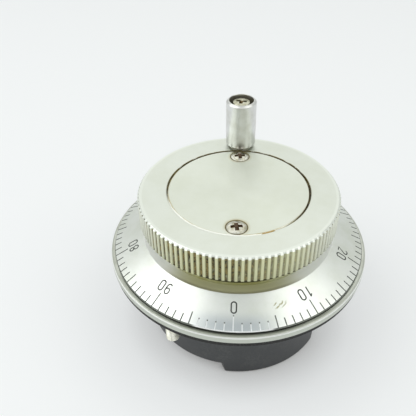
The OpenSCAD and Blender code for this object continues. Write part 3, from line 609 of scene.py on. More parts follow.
# ---- Shaft, bearings and spacers ----
# The ground steel shaft turns in two open ball bearings with brass crown cages. Spring
# steel rings hold them, and a wave washer presses the rear bearing forward.
ground_steel = mottled("ground_steel", (700.0, 3.0, 0.5), (186, 187, 190), (222, 222, 222), lay=12,
                       Metallic=1.0, Roughness=(0.3, 0.8, 0.1, 0.22))
dress(ground_steel, "shaft", "front_outer_race", "rear_outer_race", "front_inner_race", "rear_inner_race",
      "front_balls", "rear_balls", "bearing_spacer", "preload_washer")
dress(brass, "front_cage", "rear_cage")
dress(iron, "hub_circlip", "shaft_circlip")

# ---- Bezel ----
# The fixed bezel is one turned aluminium part: a flange with a rounded front edge, and the
# tube that holds the bearings. It is plainer and greyer than the wheel, and finger-marked.
turning_group, work, given, result = effect_group("turning_lines", ("Lines", "Radius", "Angle", "Height"), Pitch=0.0001)
x, y, z = work.node("ShaderNodeSeparateXYZ", Vector=given["Vector"]).outputs
radius = work.math("SQRT", work.plus(work.times(x, x), work.times(y, y)))
along = work.math("DIVIDE", work.plus(radius, z), given["Pitch"])
feed = work.node("ShaderNodeCombineXYZ", X=along).outputs[0]
for label, value in (("Lines", work.noise(feed, 1.0, 2.0, 0.7)), ("Radius", radius),
                     ("Angle", work.math("ARCTAN2", y, x)), ("Height", z)):
    work.put(result[label], value)


def on_lathe(finish, pitch, centre=(0, 0)):
    # Where a point lies on a turned piece, and the fine lines that the tool has left there
    spot = finish.place()
    if any(centre):
        spot = finish.node("ShaderNodeMapping", Vector=spot, Location=(-centre[0], -centre[1], 0)).outputs[0]
    parts = finish.effect(turning_group, Vector=spot, Pitch=pitch)
    return [spot] + [parts[label] for label in ("Radius", "Angle", "Height", "Lines")]


bezel_r, bezel_back, bezel_front, bezel_round = 40 * mm, 28.4 * mm, 30.6 * mm, 0.7 * mm
satin = Finish("bezel_satin_aluminium")
spot, radius, angle, height, lines = on_lathe(satin, 0.12 * mm)
marks = satin.noise(spot, 160.0, 5.0, 0.6)
# On the side of the zero the top face is painted greyer, as painted shade, and a painted shadow runs along the dial's
# edge
painted_shade_side = satin.ramp(satin.towards(angle, -62), 0.2, 1.0)
# A painted highlight along the rounded front edge, paler and less metallic
painted_edge_highlight = satin.times(
    (radius, bezel_r - 0.3 * mm, bezel_r - 0.2 * mm),
    satin.band(height, bezel_front - 0.66 * mm, bezel_front - 0.55 * mm, bezel_front - 0.26 * mm,
               bezel_front - 0.17 * mm))
painted_gap_shadow = satin.times(
    satin.band(radius, 36 * mm, 37 * mm, 38.75 * mm, 38.95 * mm),
    (height, bezel_front - 0.2 * mm, bezel_front - 0.1 * mm), (painted_shade_side, 0.75, 1.0, 0.0, 0.9))
painted_dimming = satin.times((painted_shade_side, 0.2, 1.0), (height, bezel_front - 0.3 * mm, bezel_front - 0.1 * mm, 0.0, 0.85))
satin.surface(
    Base_Color=satin.layered(
        tint(204, 207, 198),
        ((marks, 0.35, 0.75), tint(184, 187, 176)),
        (painted_dimming, tint(152, 156, 146)),
        ((height, bezel_front - 0.5 * mm, bezel_front - 0.8 * mm), tint(198, 202, 192)),
        (painted_edge_highlight, tint(242, 244, 240)),
        (painted_gap_shadow, tint(50, 50, 42))),
    Metallic=satin.minus(1.0, satin.plus(satin.times(painted_edge_highlight, 0.5), satin.times(painted_gap_shadow, 0.7))),
    Roughness=(marks, 0.3, 0.75, 0.28, 0.42), Anisotropic=0.35,
)
satin.raise_by(lines, 0.000004, 0.6)

tube_r, tube_low, tube_high = 10.5 * mm, 21.4 * mm, 39.2 * mm
seat_r, land_r, spring_top, front_seat = 8 * mm, 7 * mm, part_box("preload_washer")[1].z, 33 * mm
clip_low, clip_high = (corner.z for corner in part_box("hub_circlip"))
clip_r = seat_r + 0.5 * mm
groove_out, groove_in, groove_low = 28 * mm, 26 * mm, 29.8 * mm
rounded_edge = [(bezel_r - bezel_round * (1 - math.cos(math.radians(a))),
                 bezel_front - bezel_round * (1 - math.sin(math.radians(a)))) for a in range(0, 91, 15)]
bezel = lathed("turned_bezel", softened([
    (seat_r, tube_low), (tube_r, tube_low), (tube_r, bezel_back), (bezel_r, bezel_back)], 0.15 * mm, False)
    + rounded_edge + softened([
        (bezel_r - bezel_round, bezel_front), (groove_out, bezel_front), (groove_out, groove_low),
        (groove_in, groove_low), (groove_in, bezel_front), (tube_r, bezel_front), (tube_r, tube_high),
        (seat_r, tube_high), (seat_r, clip_high), (clip_r, clip_high), (clip_r, clip_low), (seat_r, clip_low),
        (seat_r, front_seat), (land_r, front_seat), (land_r, spring_top), (seat_r, spring_top)],
        0.08 * mm, False)[1:], 320, True)


def drill(r, low, high, reach=0.0, angle=0.0):
    # A plain drill, to be cut out of a piece
    return lathed("drill", [(0, low), (r, low), (r, high), (0, high)], 48, False, polar(reach, angle))


index_half, index_in, index_out, index_depth = 0.26 * mm, 38.5 * mm, 41 * mm, 0.16 * mm
index_bm = bmesh.new()
lofted(index_bm, [[(x, y, z) for x, y in ((-index_half, index_in), (index_half, index_in),
                                          (index_half, index_out), (-index_half, index_out))]
                  for z in (bezel_front - index_depth, bezel_front + mm)])
cut(bezel, made("index_cutter", index_bm), *[
    drill(stud_knurl, bezel_back - mm, bezel_back + 1.5 * mm, reach, angle) for reach, angle in stud_places])
# Three bosses on its back take the housing's screws
boss_circle_r, boss_r, boss_low, boss_high = 23.6 * mm, 2.6 * mm, 22.4 * mm, bezel_back + 0.2 * mm
bosses = bmesh.new()
bosses.from_mesh(bezel.data)
for angle in (90, 210, 330):
    turned(bosses, [(0, boss_low), (boss_r, boss_low), (boss_r, boss_high), (0, boss_high)], 48, False,
           polar(boss_circle_r, math.radians(angle)))
bosses.to_mesh(bezel.data)
bosses.free()
fitted(bezel, "base", "bezel_aluminium", satin, "bezel_flange")

# ---- Handwheel ----
# The wheel is turned from an aluminium bar and satin anodised. Its grip carries 110 round
# flutes cut along its height, with chamfered ends, dark with old dirt from fingers.
grip_r, neck_r, land_top, grip_low, face = 30.1 * mm, 26.5 * mm, 36.1 * mm, 40.9 * mm, 49.6 * mm
flutes, flute_r, flute_in = 110, 0.5 * mm, 0.42 * mm
grip_chamfer, grip_foot, grip_under_r = 0.6 * mm, 0.35 * mm, 29.2 * mm
face_inner_r, cover_floor, pocket_r, pocket_floor = 21.4 * mm, 48.0 * mm, 8.5 * mm, 44.9 * mm
hub_r, hub_low, hub_high, skirt_in, skirt_out, skirt_low = (
    9.1 * mm, 40.0 * mm, 44.1 * mm, 19.5 * mm, 21.75 * mm, 33.5 * mm)
knob_angle, knob_reach, cover_screw_reach = math.radians(118.8), 25.3 * mm, 17.8 * mm

# One flute with half a land on each side, which is then set round the axis
half_pitch = math.pi / flutes
flute_centre = grip_r - flute_in + flute_r
edge_angle = math.radians(0.938)
sector_turns = [-half_pitch, *(share * edge_angle for share in (-1, -0.72, -0.4, 0, 0.4, 0.72, 1)), half_pitch]


def flute_wall(angle):
    across = flute_centre * math.sin(angle)
    if abs(across) >= flute_r:
        return grip_r
    return min(grip_r, flute_centre * math.cos(angle) - math.sqrt(flute_r ** 2 - across ** 2))


flute_rows = [(grip_under_r, grip_low), (grip_r - grip_foot, grip_low),
              (grip_r - grip_foot / 2, grip_low + grip_foot / 2), (grip_r, grip_low + grip_foot),
              (grip_r, face - grip_chamfer), (grip_r - 0.2 * mm, face - 0.4 * mm),
              (grip_r - 0.42 * mm, face - 0.18 * mm), (grip_r - grip_chamfer, face)]
sector_bm = bmesh.new()
sector = [[sector_bm.verts.new(polar(min(r, flute_wall(a)), a, z)) for a in sector_turns] for r, z in flute_rows]
for low, high in zip(sector, sector[1:]):
    for i in range(len(sector_turns) - 1):
        sector_bm.faces.new((low[i], low[i + 1], high[i + 1], high[i]))
sector_mesh = bpy.data.meshes.new("flute_sector")
sector_bm.to_mesh(sector_mesh)
sector_bm.free()
grip = shown(bpy.data.objects.new("fluted_grip", sector_mesh))
wheel_metal = Finish("wheel_satin_aluminium")
run_tree(grip, set_round, wheel_metal, Count=flutes, Radius=0.0, First_angle=0.0, Weld=2e-7)

# The hub, skirt and neck below the grip, and the face and its pocket above, meet its edges
wheel_turns = [2 * math.pi * k / flutes + a for k in range(flutes) for a in sector_turns[:-1]]
wheel_bm = bmesh.new()
wheel_bm.from_mesh(grip.data)
bpy.data.objects.remove(grip)
turned(wheel_bm, softened([
    (0, hub_low), (hub_r, hub_low), (hub_r, hub_high), (skirt_in, hub_high), (skirt_in, skirt_low),
    (skirt_out, skirt_low), (skirt_out, land_top), (neck_r, land_top), (neck_r, grip_low),
    (grip_under_r, grip_low)], 0.12 * mm, False), wheel_turns, False)
turned(wheel_bm, [(grip_r - grip_chamfer, face)] + softened([
    (grip_r - grip_chamfer, face), (face_inner_r + 0.1 * mm, face), (face_inner_r, face - 0.1 * mm),
    (face_inner_r, cover_floor), (pocket_r, cover_floor), (pocket_r, pocket_floor), (0, pocket_floor)],
    0.05 * mm, False)[1:], wheel_turns, False)
wheel = made("fluted_handwheel", wheel_bm)
cut(wheel,
    drill(3 * mm, 39 * mm, 46 * mm),
    drill(2 * mm, 43.6 * mm, 50 * mm, knob_reach, knob_angle),
    drill(1.5 * mm, 45 * mm, 49 * mm, cover_screw_reach, knob_angle),
    drill(1.5 * mm, 45 * mm, 49 * mm, -cover_screw_reach, knob_angle))

spot, radius, angle, height, lines = on_lathe(wheel_metal, 0.09 * mm)
patches = wheel_metal.noise(spot, 130.0, 4.0, 0.6)
lumps = wheel_metal.noise(spot, 430.0, 2.0, 0.5)
clumps = wheel_metal.noise(spot, 1300.0, 3.0, 0.7)
flute_number = wheel_metal.node("ShaderNodeCombineXYZ", X=wheel_metal.times(angle, flutes / math.pi)).outputs[0]
per_flute = wheel_metal.noise(flute_number, 1.0, 2.0, 0.7)
on_grip = wheel_metal.band(height, grip_low - 0.2 * mm, grip_low + 0.2 * mm, face - 0.8 * mm, face - 0.5 * mm)
on_neck = wheel_metal.times(
    wheel_metal.band(height, land_top - 0.1 * mm, land_top + 0.1 * mm, grip_low - 0.1 * mm, grip_low + 0.3 * mm),
    (radius, neck_r - 0.4 * mm, neck_r - 0.2 * mm))
# A painted sheen: the face and its chamfer are lighter near the grip's edge
painted_face_sheen = wheel_metal.times((radius, 28.5 * mm, 29.0 * mm), (height, face - 0.8 * mm, face - 0.55 * mm))
# Dirt lies in the flutes, unevenly, and one side of the wheel is cleaner
in_flutes = wheel_metal.times(
    (radius, grip_r - 0.1 * mm, grip_r - 0.36 * mm), on_grip,
    (wheel_metal.plus(wheel_metal.times(lumps, 0.6), wheel_metal.times(per_flute, 0.5)), 0.4, 0.56, 0.45, 1.0))
cleaner = wheel_metal.ramp(wheel_metal.towards(angle, 10), 0.2, 0.9, 1.0, 0.52)
flute_dirt = wheel_metal.blend(
    (wheel_metal.plus(wheel_metal.times(clumps, 0.5), wheel_metal.times(lumps, 0.5)), 0.42, 0.62),
    tint(38, 28, 10), tint(152, 137, 86))
# Fingers have left most dirt on the side that faces the zero of the dial
toward_front = wheel_metal.towards(angle, -63)
handled = wheel_metal.ramp(toward_front, 0.5, 0.97)
neck_grime = wheel_metal.times(on_neck, (patches, 0.25, 0.65, 0.4, 0.8), handled)
# A painted shadow: a dark line across the top of the neck under the grip, on the side of the zero
painted_neck_shadow = wheel_metal.times(
    (toward_front, 0.6, 0.95, 0.0, 0.9), on_neck,
    wheel_metal.band(height, 37.05 * mm, 37.2 * mm, 37.5 * mm, 37.75 * mm))
# Painted shade on the underside edge of the grip, all round and strongest on the side of the zero
painted_grip_foot_shade = wheel_metal.times(
    (radius, 28.6 * mm, 29.4 * mm), (height, grip_low + 0.42 * mm, grip_low + 0.3 * mm),
    wheel_metal.plus(0.4, handled))
in_groove = wheel_metal.times(
    (radius, face_inner_r + 0.06 * mm, face_inner_r), (height, face - 0.02 * mm, face - 0.2 * mm))
stained_lip = wheel_metal.times(
    (toward_front, 0.3, -0.2), (radius, face_inner_r + 0.3 * mm, face_inner_r + 0.16 * mm),
    (height, face - 0.3 * mm, face - 0.2 * mm), (lumps, 0.35, 0.5, 0.45, 0.95))
wheel_metal.surface(
    Base_Color=wheel_metal.layered(
        tint(230, 234, 226),
        ((patches, 0.2, 0.8), tint(224, 228, 217)),
        (painted_face_sheen, tint(235, 239, 231)),
        (wheel_metal.times(on_grip, 0.8), wheel_metal.blend(handled, tint(226, 228, 213), tint(217, 217, 170))),
        (wheel_metal.times(in_flutes, cleaner), flute_dirt),
        (neck_grime, tint(180, 176, 118)),
        (painted_grip_foot_shade, tint(74, 70, 48)),
        (painted_neck_shadow, tint(50, 50, 36)),
        (in_groove, tint(70, 58, 30)),
        (stained_lip, tint(104, 92, 50))),
    Metallic=(wheel_metal.math("MAXIMUM", in_flutes, in_groove), 0.1, 0.9, 1.0, 0.2),
    Roughness=(wheel_metal.plus(in_flutes, wheel_metal.times(patches, 0.3)), 0.1, 1.0, 0.4, 0.7),
    Anisotropic=0.5,
)
wheel_metal.raise_by(lines, 0.000004, 0.6)
fitted(wheel, "wheel", "wheel_aluminium", wheel_metal, "handwheel")

# ---- Dial ----
# The dial is a turned aluminium ring with a conical face. Its hundred graduations and ten
# numbers are engraved in the cone and filled with dark paint, worn away round the zero.
dial_r, dial_edge_z, dial_land_r, dial_bore_r, dial_lip = 38.5 * mm, 31.6 * mm, 29.6 * mm, 21.8 * mm, 0.22 * mm
dial_foot, dial_back, foot_in, foot_out = 31.0 * mm, 33.0 * mm, 34.0 * mm, 32.0 * mm
cone_slope = math.atan2(land_top - dial_edge_z, dial_r - dial_land_r)
slant = 1 / math.cos(cone_slope)
zero_angle = math.radians(-61.2)
dial = lathed("graduated_dial", softened([
    (dial_bore_r, dial_back), (foot_out, dial_back), (foot_in, dial_foot), (dial_r + dial_lip, dial_foot),
    (dial_r + dial_lip, dial_edge_z - dial_lip), (dial_r, dial_edge_z), (dial_land_r, land_top),
    (dial_bore_r, land_top)], 0.1 * mm), 400, True)


def graduations_tree():
    # Cuts the graduations round the cone: every tenth is longest, every fifth is longer
    work, given, index, turn, points = circle_tree(
        "graduations", "Slope", "Tens", "Fives", "Units", "Width", "Depth")
    tenth, fifth = (work.math("LESS_THAN", work.math("MODULO", index, every), 0.5) for every in (10.0, 5.0))
    length = work.plus(given["Units"], work.plus(
        work.times(fifth, work.minus(given["Fives"], given["Units"])),
        work.times(tenth, work.minus(given["Tens"], given["Fives"]))))
    bar = work.node("GeometryNodeMeshCube", Size=(2.0, 1.0, 2.0))
    facing = work.node("ShaderNodeCombineXYZ", Y=given["Slope"], Z=turn)
    size = work.node("ShaderNodeCombineXYZ", X=length, Y=given["Width"], Z=given["Depth"])
    bars = work.node("GeometryNodeInstanceOnPoints", Points=points, Instance=bar.outputs[0],
                     Rotation=facing.outputs[0], Scale=size.outputs[0])
    real = work.node("GeometryNodeRealizeInstances", Geometry=bars.outputs[0])
    engrave = work.node("GeometryNodeMeshBoolean", "DIFFERENCE")
    engrave.solver = "EXACT"
    work.put(engrave.inputs["Mesh 1"], given["Piece"])
    work.put(engrave.inputs["Mesh 2"], real.outputs[0])
    return ended(work, given, engrave.outputs[0])


dial_metal = Finish("dial_turned_aluminium")
run_tree(dial, graduations_tree(), dial_metal, Count=100, First_angle=zero_angle, Radius=dial_r,
         Height=dial_edge_z, Slope=cone_slope, Tens=3.7 * mm * slant, Fives=2.9 * mm * slant,
         Units=1.9 * mm * slant, Width=0.34 * mm, Depth=0.16 * mm)

digit_half_width, digit_half_height, digit_pitch = 0.7 * mm, 1.52 * mm, 2.36 * mm
digit_cutter, digit_centre_r = 0.2 * mm, 32.97 * mm


def arc(x, y, rx, ry, first, last, steps=10):
    turns = [math.radians(first + (last - first) * i / steps) for i in range(steps + 1)]
    return [(x + rx * math.cos(turn), y + ry * math.sin(turn)) for turn in turns]


# The cutter's paths for each digit: half width 1 and half height 1, with closed loops marked
lobe = digit_half_width / digit_half_height
digit_strokes = [
    [(arc(0, 1 - lobe, 1, lobe, 0, 180) + arc(0, lobe - 1, 1, lobe, 180, 360), True)],
    [([(0.15, -1), (0.15, 1)], False), ([(0.15, 0.97), (-0.6, 0.55)], False)],
    [(arc(0, 1 - lobe, 1, lobe, 170, -35) + [(-0.95, -1), (1, -1)], False)],
    [(arc(0, 0.54, 0.9, 0.46, 160, -90)[:-1] + arc(0, -0.46, 1, 0.54, 90, -165), False)],
    [([(0.35, 1), (-0.95, -0.42), (1, -0.42)], False), ([(0.4, 0.1), (0.4, -1)], False)],
    [([(0.85, 1), (-0.75, 1), (-0.85, 0.12)] + arc(0, -0.38, 1, 0.6, 128, -150), False)],
    [(arc(0, -0.42, 1, 0.58, 0, 360)[:-1], True), ([(-1, -0.42)] + arc(0, 0.36, 1, 0.64, 180, 38), False)],
    [([(-0.95, 1), (0.98, 1), (-0.25, -1)], False)],
    [(arc(0, -0.46, 1, 0.54, 0, 360)[:-1], True), (arc(0, 0.52, 0.86, 0.46, 0, 360)[:-1], True)],
]
digit_strokes.append([([(-x, -y) for x, y in points], closed) for points, closed in digit_strokes[6]])


def numeral_cutter(order):
    # The first or the second stroke of every digit, as a round cutter's path on the cone
    curve = bpy.data.curves.new("numeral_cutter", "CURVE")
    curve.dimensions = "3D"
    curve.bevel_depth = digit_cutter
    curve.bevel_resolution = 2
    curve.use_fill_caps = True
    for tens in range(10):
        label = [tens, 0] if tens else [0]
        for k, digit in enumerate(label):
            if order >= len(digit_strokes[digit]):
                continue
            points, closed = digit_strokes[digit][order]
            middle = (k - (len(label) - 1) / 2) * digit_pitch
            spline = curve.splines.new("POLY")
            spline.points.add(len(points) - 1)
            spline.use_cyclic_u = closed
            for point, (x, y) in zip(spline.points, points):
                across = middle + x * digit_half_width
                r = digit_centre_r + y * digit_half_height / slant
                z = dial_edge_z + (dial_r - r) * math.tan(cone_slope)
                point.co = (*polar(r, zero_angle + tens * math.pi / 5 - across / r, z), 1)
    line = shown(bpy.data.objects.new("numeral_cutter", curve))
    bm = bmesh.new()
    bm.from_mesh(evaluated(line))
    bpy.data.objects.remove(line)
    return made("numeral_cutter", bm)


for order in (0, 1):
    cut(dial, numeral_cutter(order))

spot, radius, angle, height, lines = on_lathe(dial_metal, 0.08 * mm)
patches = dial_metal.noise(spot, 140.0, 5.0, 0.6)
cone_height = dial_metal.plus(dial_edge_z, dial_metal.times(dial_metal.minus(dial_r, radius), math.tan(cone_slope)))
depth = dial_metal.minus(cone_height, height)
painted = dial_metal.times(dial_metal.band(depth, 0.02 * mm, 0.05 * mm, 0.3 * mm, 0.34 * mm),
                           (radius, 30.2 * mm, 30.4 * mm))
# The paint is thin near the zero, and gone from the marks next to it but for their inner ends
from_zero = dial_metal.math("ABSOLUTE", dial_metal.minus(angle, zero_angle))
inner_end = dial_metal.ramp(from_zero, 0.02, 0.03, 34.9 * mm, 36.75 * mm)
worn = dial_metal.times((from_zero, 0.3, 0.26), (dial_metal.minus(radius, inner_end), 0.0, 0.2 * mm))
thinned = dial_metal.times((from_zero, 1.3, 0.7), (radius, 34.2 * mm, 34.6 * mm, 0.0, 0.35))
paint = dial_metal.layered(
    tint(52, 55, 52), (patches, tint(92, 96, 90)), (thinned, tint(160, 165, 160)),
    (dial_metal.times(worn, 0.9), tint(244, 247, 248)))
# A smudge of short crooked strokes between the zero and the ten
smudge_angle = zero_angle + 0.377
crooked = dial_metal.plus(
    dial_metal.times(dial_metal.noise(spot, 420.0, 2.0, 0.5), 13.0),
    dial_metal.plus(dial_metal.times(angle, 120.0), dial_metal.times(radius, 5200.0)))
smudge = dial_metal.times(
    (dial_metal.math("ABSOLUTE", dial_metal.minus(angle, smudge_angle)), 0.075, 0.03),
    dial_metal.band(radius, 32.4 * mm, 33.0 * mm, 33.8 * mm, 34.4 * mm),
    (dial_metal.math("SINE", crooked), -0.2, 0.9),
    (dial_metal.noise(spot, 700.0, 3.0, 0.7), 0.3, 0.5))
# Painted reflection: the cone is darker and bluer round the zero
painted_dimming = dial_metal.times((from_zero, 0.42, 0.1), (radius, 33.5 * mm, 37.5 * mm, 0.2, 1.0))
# Painted shade on the dial's lip towards the zero
painted_lip_shade = dial_metal.times((from_zero, 0.5, 0.2), (radius, dial_r - 0.02 * mm, dial_r + 0.08 * mm))
# The flat land under the grip is grimy towards the zero, and dull all round. Its tone is painted nearly white to offset
# the grip's shade, with painted shade along its outer edge towards the zero
land = dial_metal.times((radius, dial_land_r + 0.12 * mm, dial_land_r - 0.08 * mm), (height, 35.5 * mm, 35.9 * mm))
toward_zero = dial_metal.ramp(dial_metal.towards(angle, -63), 0.7, 0.95)
land_tone = dial_metal.layered(
    tint(252, 254, 252), (toward_zero, tint(212, 212, 176)),
    (dial_metal.times(toward_zero, (radius, 28.4 * mm, dial_land_r, 0.0, 0.6)), tint(128, 122, 100)))
dull = dial_metal.math("MAXIMUM", painted, dial_metal.times(land, (toward_zero, 0.0, 1.0, 0.66, 0.55)))
dial_metal.surface(
    Base_Color=dial_metal.layered(
        tint(238, 241, 236),
        ((patches, 0.35, 0.8), tint(226, 230, 220)),
        (painted_dimming, tint(190, 197, 200)),
        (smudge, tint(160, 158, 124)),
        (painted_lip_shade, tint(150, 153, 144)),
        (land, land_tone),
        (painted, paint)),
    Metallic=(dull, 0.1, 0.9, 1.0, 0.0),
    Roughness=(dull, 0.1, 0.9, 0.34, 0.55),
    Anisotropic=0.5,
)
dial_metal.raise_by(lines, 0.000005, 0.6)
fitted(dial, "wheel", "dial_aluminium", dial_metal, "dial_ring")
dress(nickel, "dial_screws", "hub_nut")
dress(ground_steel, "hub_washer")

# ---- Cover disc ----
# A thin turned aluminium disc closes the wheel's pocket. Dirt has settled in the narrow
# groove round it and under its two countersunk screws, and has left pale brown stains.
cover_r, cover_bevel, sink_r, sink_hole_r, sink_low = 21.1 * mm, 0.22 * mm, 3.0 * mm, 1.6 * mm, 48.2 * mm
clean_side = -80
cover = lathed("cover_plate", softened([
    (0, cover_floor), (cover_r, cover_floor), (cover_r, face - 0.2 * mm), (cover_r - cover_bevel, face),
    (0, face)], 0.08 * mm, False), 256)
for reach in (cover_screw_reach, -cover_screw_reach):
    cut(cover, lathed("countersink", [
        (0, 47.5 * mm), (sink_hole_r, 47.5 * mm), (sink_hole_r, sink_low), (sink_r, face), (sink_r, 50 * mm),
        (0, 50 * mm)], centre=polar(reach, knob_angle)))


def from_screws(finish, spot, z):
    # How far a point lies from the middle of each cover screw
    for side in (1, -1):
        gap = finish.node("ShaderNodeVectorMath", "DISTANCE", Vector=spot)
        gap.inputs[1].default_value = polar(side * cover_screw_reach, knob_angle, z)
        yield gap.outputs["Value"]


cover_metal = Finish("cover_satin_aluminium")
spot, radius, angle, _, lines = on_lathe(cover_metal, 0.09 * mm)
patches = cover_metal.noise(spot, 110.0, 4.0, 0.6)
away = cover_metal.towards(angle, clean_side)
spread = cover_metal.plus(radius, (away, 0.2, -0.3, 0.0, 0.1 * mm))
groove_dirt = cover_metal.times((spread, cover_r - 0.26 * mm, cover_r - 0.16 * mm), (away, 0.6, 0.1))
stains = cover_metal.times((radius, cover_r - 0.5 * mm, cover_r - 0.05 * mm), (patches, 0.35, 0.7, 0.3, 1.0))
seat_lines = []
for gap in from_screws(cover_metal, spot, face):
    stains = cover_metal.math("MAXIMUM", stains, cover_metal.times(
        (gap, 4.2 * mm, 3.0 * mm), (patches, 0.35, 0.65, 0.1, 0.5)))
    seat_lines.append(cover_metal.times((gap, 3.3 * mm, 3.1 * mm), (patches, 0.3, 0.6, 0.45, 0.95)))
cover_metal.surface(
    Base_Color=cover_metal.layered(
        tint(230, 234, 224),
        ((patches, 0.2, 0.8), tint(225, 229, 216)),
        (stains, tint(184, 170, 122)),
        (cover_metal.math("MAXIMUM", *seat_lines), tint(112, 100, 58)),
        (groove_dirt, tint(70, 58, 30))),
    Metallic=(cover_metal.math("MAXIMUM", groove_dirt, stains), 0.1, 1.0, 1.0, 0.4),
    Roughness=(patches, 0.2, 0.8, 0.41, 0.45),
    Anisotropic=0.5,
)
cover_metal.raise_by(lines, 0.000004, 0.6)
fitted(cover, "wheel", "cover_aluminium", cover_metal, "cover_disc")

# Packed grime in the groove, darkest at the back and right, and nearly gone at the front left.
# It fills the groove between the disc's chamfer and the wheel, up to its own height.
grime_low, grime_steps, bare_step = 48.9 * mm, 360, 323
grime_turns = [2 * math.pi * i / grime_steps for i in range(grime_steps)]
grime_tops = []
for i, t in enumerate(grime_turns):
    wander = 0.03 * math.sin(7 * t + 1) + 0.03 * math.sin(17 * t) + 0.02 * math.sin(41 * t + 2)
    bare_share = max(0.0, math.cos(t - math.radians(clean_side))) ** 2 if abs(i - bare_step) >= 6 else 1.0
    grime_tops.append(face - max(0.015, 0.32 - 0.33 * bare_share + 0.25 * max(0.0, math.sin(t)) + wander) * mm)
groove_bm = bmesh.new()
rings = [[groove_bm.verts.new(polar(r, t, z)) for t, (r, z) in zip(grime_turns, row)] for row in (
    [(cover_r, grime_low)] * grime_steps, [(face_inner_r, grime_low)] * grime_steps,
    [(face_inner_r, top) for top in grime_tops],
    [(min(cover_r, cover_r - cover_bevel + 1.1 * (face - top)), top) for top in grime_tops])]
for first, second in zip(rings, rings[1:] + rings[:1]):
    for i in range(grime_steps):
        k = (i + 1) % grime_steps
        groove_bm.faces.new((first[i], first[k], second[k], second[i]))
packed = Finish("packed_grime")
spot, _, angle, _, _ = on_lathe(packed, 0.1 * mm)
clumps = packed.noise(spot, 500.0, 4.0, 0.7)
rust = packed.times((packed.math("ABSOLUTE", packed.minus(angle, math.radians(-37))), 0.11, 0.08), (clumps, 0.3, 0.5))
pale = packed.times((packed.towards(angle, clean_side), 0.35, 0.8), packed.minus(1.0, rust))
packed.surface(
    Base_Color=packed.layered(
        tint(50, 46, 26), ((clumps, 0.38, 0.62), tint(136, 124, 70)), (rust, tint(176, 148, 88)),
        (pale, tint(244, 246, 238))),
    Roughness=0.75)
packed.raise_by(clumps, 0.00004, 0.6)
fitted(made("groove_grime", groove_bm), "wheel", "cover_aluminium", packed)

# ---- Cover screws ----
# Two M3 oval-head countersunk screws, nickel plated, with a cross recess that has gone
# dark with dirt. They sit in line with the crank knob.
crown_top, crown_curve = 50.1 * mm, 62.0
cover_screw = lathed("oval_head_screws", softened([
    (0, 44.6 * mm), (1.2 * mm, 44.6 * mm), (1.5 * mm, 44.9 * mm), (1.5 * mm, sink_low), (2.88 * mm, 49.58 * mm),
    (2.2 * mm, 49.80 * mm), (1.4 * mm, 49.98 * mm), (0.7 * mm, 50.07 * mm), (0, crown_top)], 0.06 * mm, False))
punch = cross_punch(3.5 * mm, 1.4 * mm, 50.02 * mm, 0.16)
punch.data.transform(Matrix.Rotation(math.radians(8), 4, "Z"))
cut(cover_screw, punch)
screw_metal = Finish("screw_nickel_soiled")
run_tree(cover_screw, set_round, screw_metal, Count=2, Radius=cover_screw_reach, First_angle=knob_angle, Weld=1e-8)
spot = screw_metal.place()
height = screw_metal.node("ShaderNodeSeparateXYZ", Vector=spot).outputs[2]
worn = screw_metal.noise(spot, 700.0, 4.0, 0.6)
# How deep a point lies under the crown of its own screw
flat = screw_metal.node("ShaderNodeVectorMath", "MULTIPLY", Vector=spot)
flat.inputs[1].default_value = (1, 1, 0)
reach = screw_metal.math("MINIMUM", *from_screws(screw_metal, flat.outputs["Vector"], 0))
crown = screw_metal.minus(crown_top, screw_metal.times(reach, reach, crown_curve))
pit = screw_metal.times((screw_metal.minus(crown, height), 0.05 * mm, 0.16 * mm), (reach, 2.3 * mm, 2.1 * mm))
screw_metal.surface(
    Base_Color=screw_metal.layered(
        tint(226, 225, 214), ((worn, 0.35, 0.75), tint(176, 170, 142)), (pit, tint(92, 72, 46))),
    Metallic=(pit, 0.1, 1.0, 1.0, 0.3),
    Roughness=(worn, 0.3, 0.8, 0.12, 0.3),
)
screw_metal.raise_by(worn, 0.00003, 0.6)
fitted(cover_screw, "wheel", "screw_steel", screw_metal, "cover_screws")

# ---- Crank knob ----
# The knob is turned from aluminium bar and spins on a shouldered screw with a plastic
# bush. The screw's head sits down in a recess in its top, on a nylon washer below.
knob_r, knob_low, knob_high, knob_floor, recess_r = 4.85 * mm, 50.2 * mm, 66.0 * mm, 63.3 * mm, 3.95 * mm
knob_chamfer = 0.6 * mm
knob_place = polar(knob_reach, knob_angle)
bush_low, bush_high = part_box("knob_bush")
bush_r = (bush_high.x - bush_low.x) / 2
knob = lathed("turned_knob", softened([
    (bush_r, knob_low), (knob_r - knob_chamfer, knob_low), (knob_r, knob_low + knob_chamfer),
    (knob_r, knob_high - knob_chamfer), (knob_r - knob_chamfer, knob_high), (recess_r, knob_high),
    (recess_r, knob_floor), (bush_r, knob_floor)], 0.08 * mm), 128, True, knob_place)
knob_metal = Finish("knob_turned_aluminium")
spot, radius, _, height, lines = on_lathe(knob_metal, 0.09 * mm, knob_place)
patches = knob_metal.noise(spot, 260.0, 4.0, 0.6)
inside = knob_metal.times((radius, recess_r + 0.25 * mm, recess_r + 0.05 * mm),
                          (height, knob_high - 0.05 * mm, knob_high - 0.7 * mm))
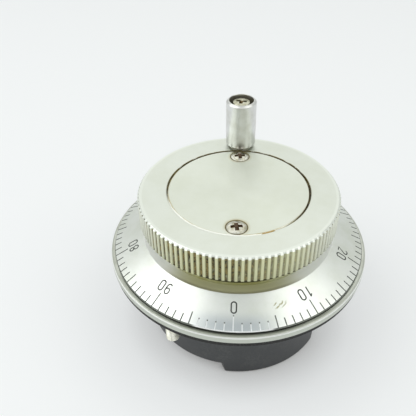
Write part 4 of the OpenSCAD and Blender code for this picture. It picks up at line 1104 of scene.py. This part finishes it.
knob_metal.surface(
    Base_Color=knob_metal.layered(
        tint(224, 225, 224), ((patches, 0.35, 0.8), tint(208, 208, 202)),
        (knob_metal.times(inside, (patches, 0.2, 0.7, 0.6, 1.0)), tint(112, 106, 84))),
    Metallic=(inside, 0.2, 1.0, 1.0, 0.5),
    Roughness=(patches, 0.3, 0.8, 0.3, 0.36),
    Anisotropic=0.4,
)
knob_metal.raise_by(lines, 0.000004, 0.6)
fitted(knob, "knob", "knob_aluminium", knob_metal, "crank_knob")
dress(black_moulding, "knob_bush")
nylon = mottled("washer_nylon", (700.0, 4.0, 0.6), (206, 202, 186), (170, 164, 140), bump=(0.00001, 0.4),
                Roughness=0.5, Subsurface_Weight=0.1)
dress(nylon, "knob_washer")

# ---- Knob screw ----
# One shouldered M4 screw holds the knob. Its pan head has a cross recess, and the thread
# below its shoulder runs into the wheel's face.
head_low, head_top, head_r, shoulder_r, post_end, post_r = (
    63.4 * mm, 65.65 * mm, 2.95 * mm, 2.3 * mm, 43.7 * mm, 2.0 * mm)
post = lathed("shouldered_screw", softened([
    (0, post_end), (post_r - 0.4 * mm, post_end), (post_r, post_end + 0.4 * mm), (post_r, face),
    (shoulder_r, face), (shoulder_r, head_low), (head_r, head_low), (head_r, head_top - 0.75 * mm),
    (head_r - 0.3 * mm, head_top - 0.3 * mm), (1.8 * mm, head_top - 0.08 * mm), (0, head_top)],
    0.08 * mm, False))
cut(post, cross_punch(3.5 * mm, 1.4 * mm, head_top - 0.05 * mm, 0.16))
post.data.transform(Matrix.Translation(knob_place) @ Matrix.Rotation(math.radians(20), 4, "Z"))
post_metal = Finish("knob_screw_nickel")
spot = post_metal.place()
height = post_metal.node("ShaderNodeSeparateXYZ", Vector=spot).outputs[2]
worn = post_metal.noise(spot, 700.0, 4.0, 0.6)
post_metal.surface(
    Base_Color=post_metal.layered(
        tint(210, 209, 190), ((worn, 0.35, 0.75), tint(172, 168, 142)),
        ((height, head_top - 0.35 * mm, head_top - 0.8 * mm), tint(98, 82, 56))),
    Metallic=1.0, Roughness=(worn, 0.3, 0.8, 0.22, 0.42),
)
post_metal.raise_by(worn, 0.00001, 0.4)
fitted(post, "wheel", "screw_steel", post_metal, "knob_screw")
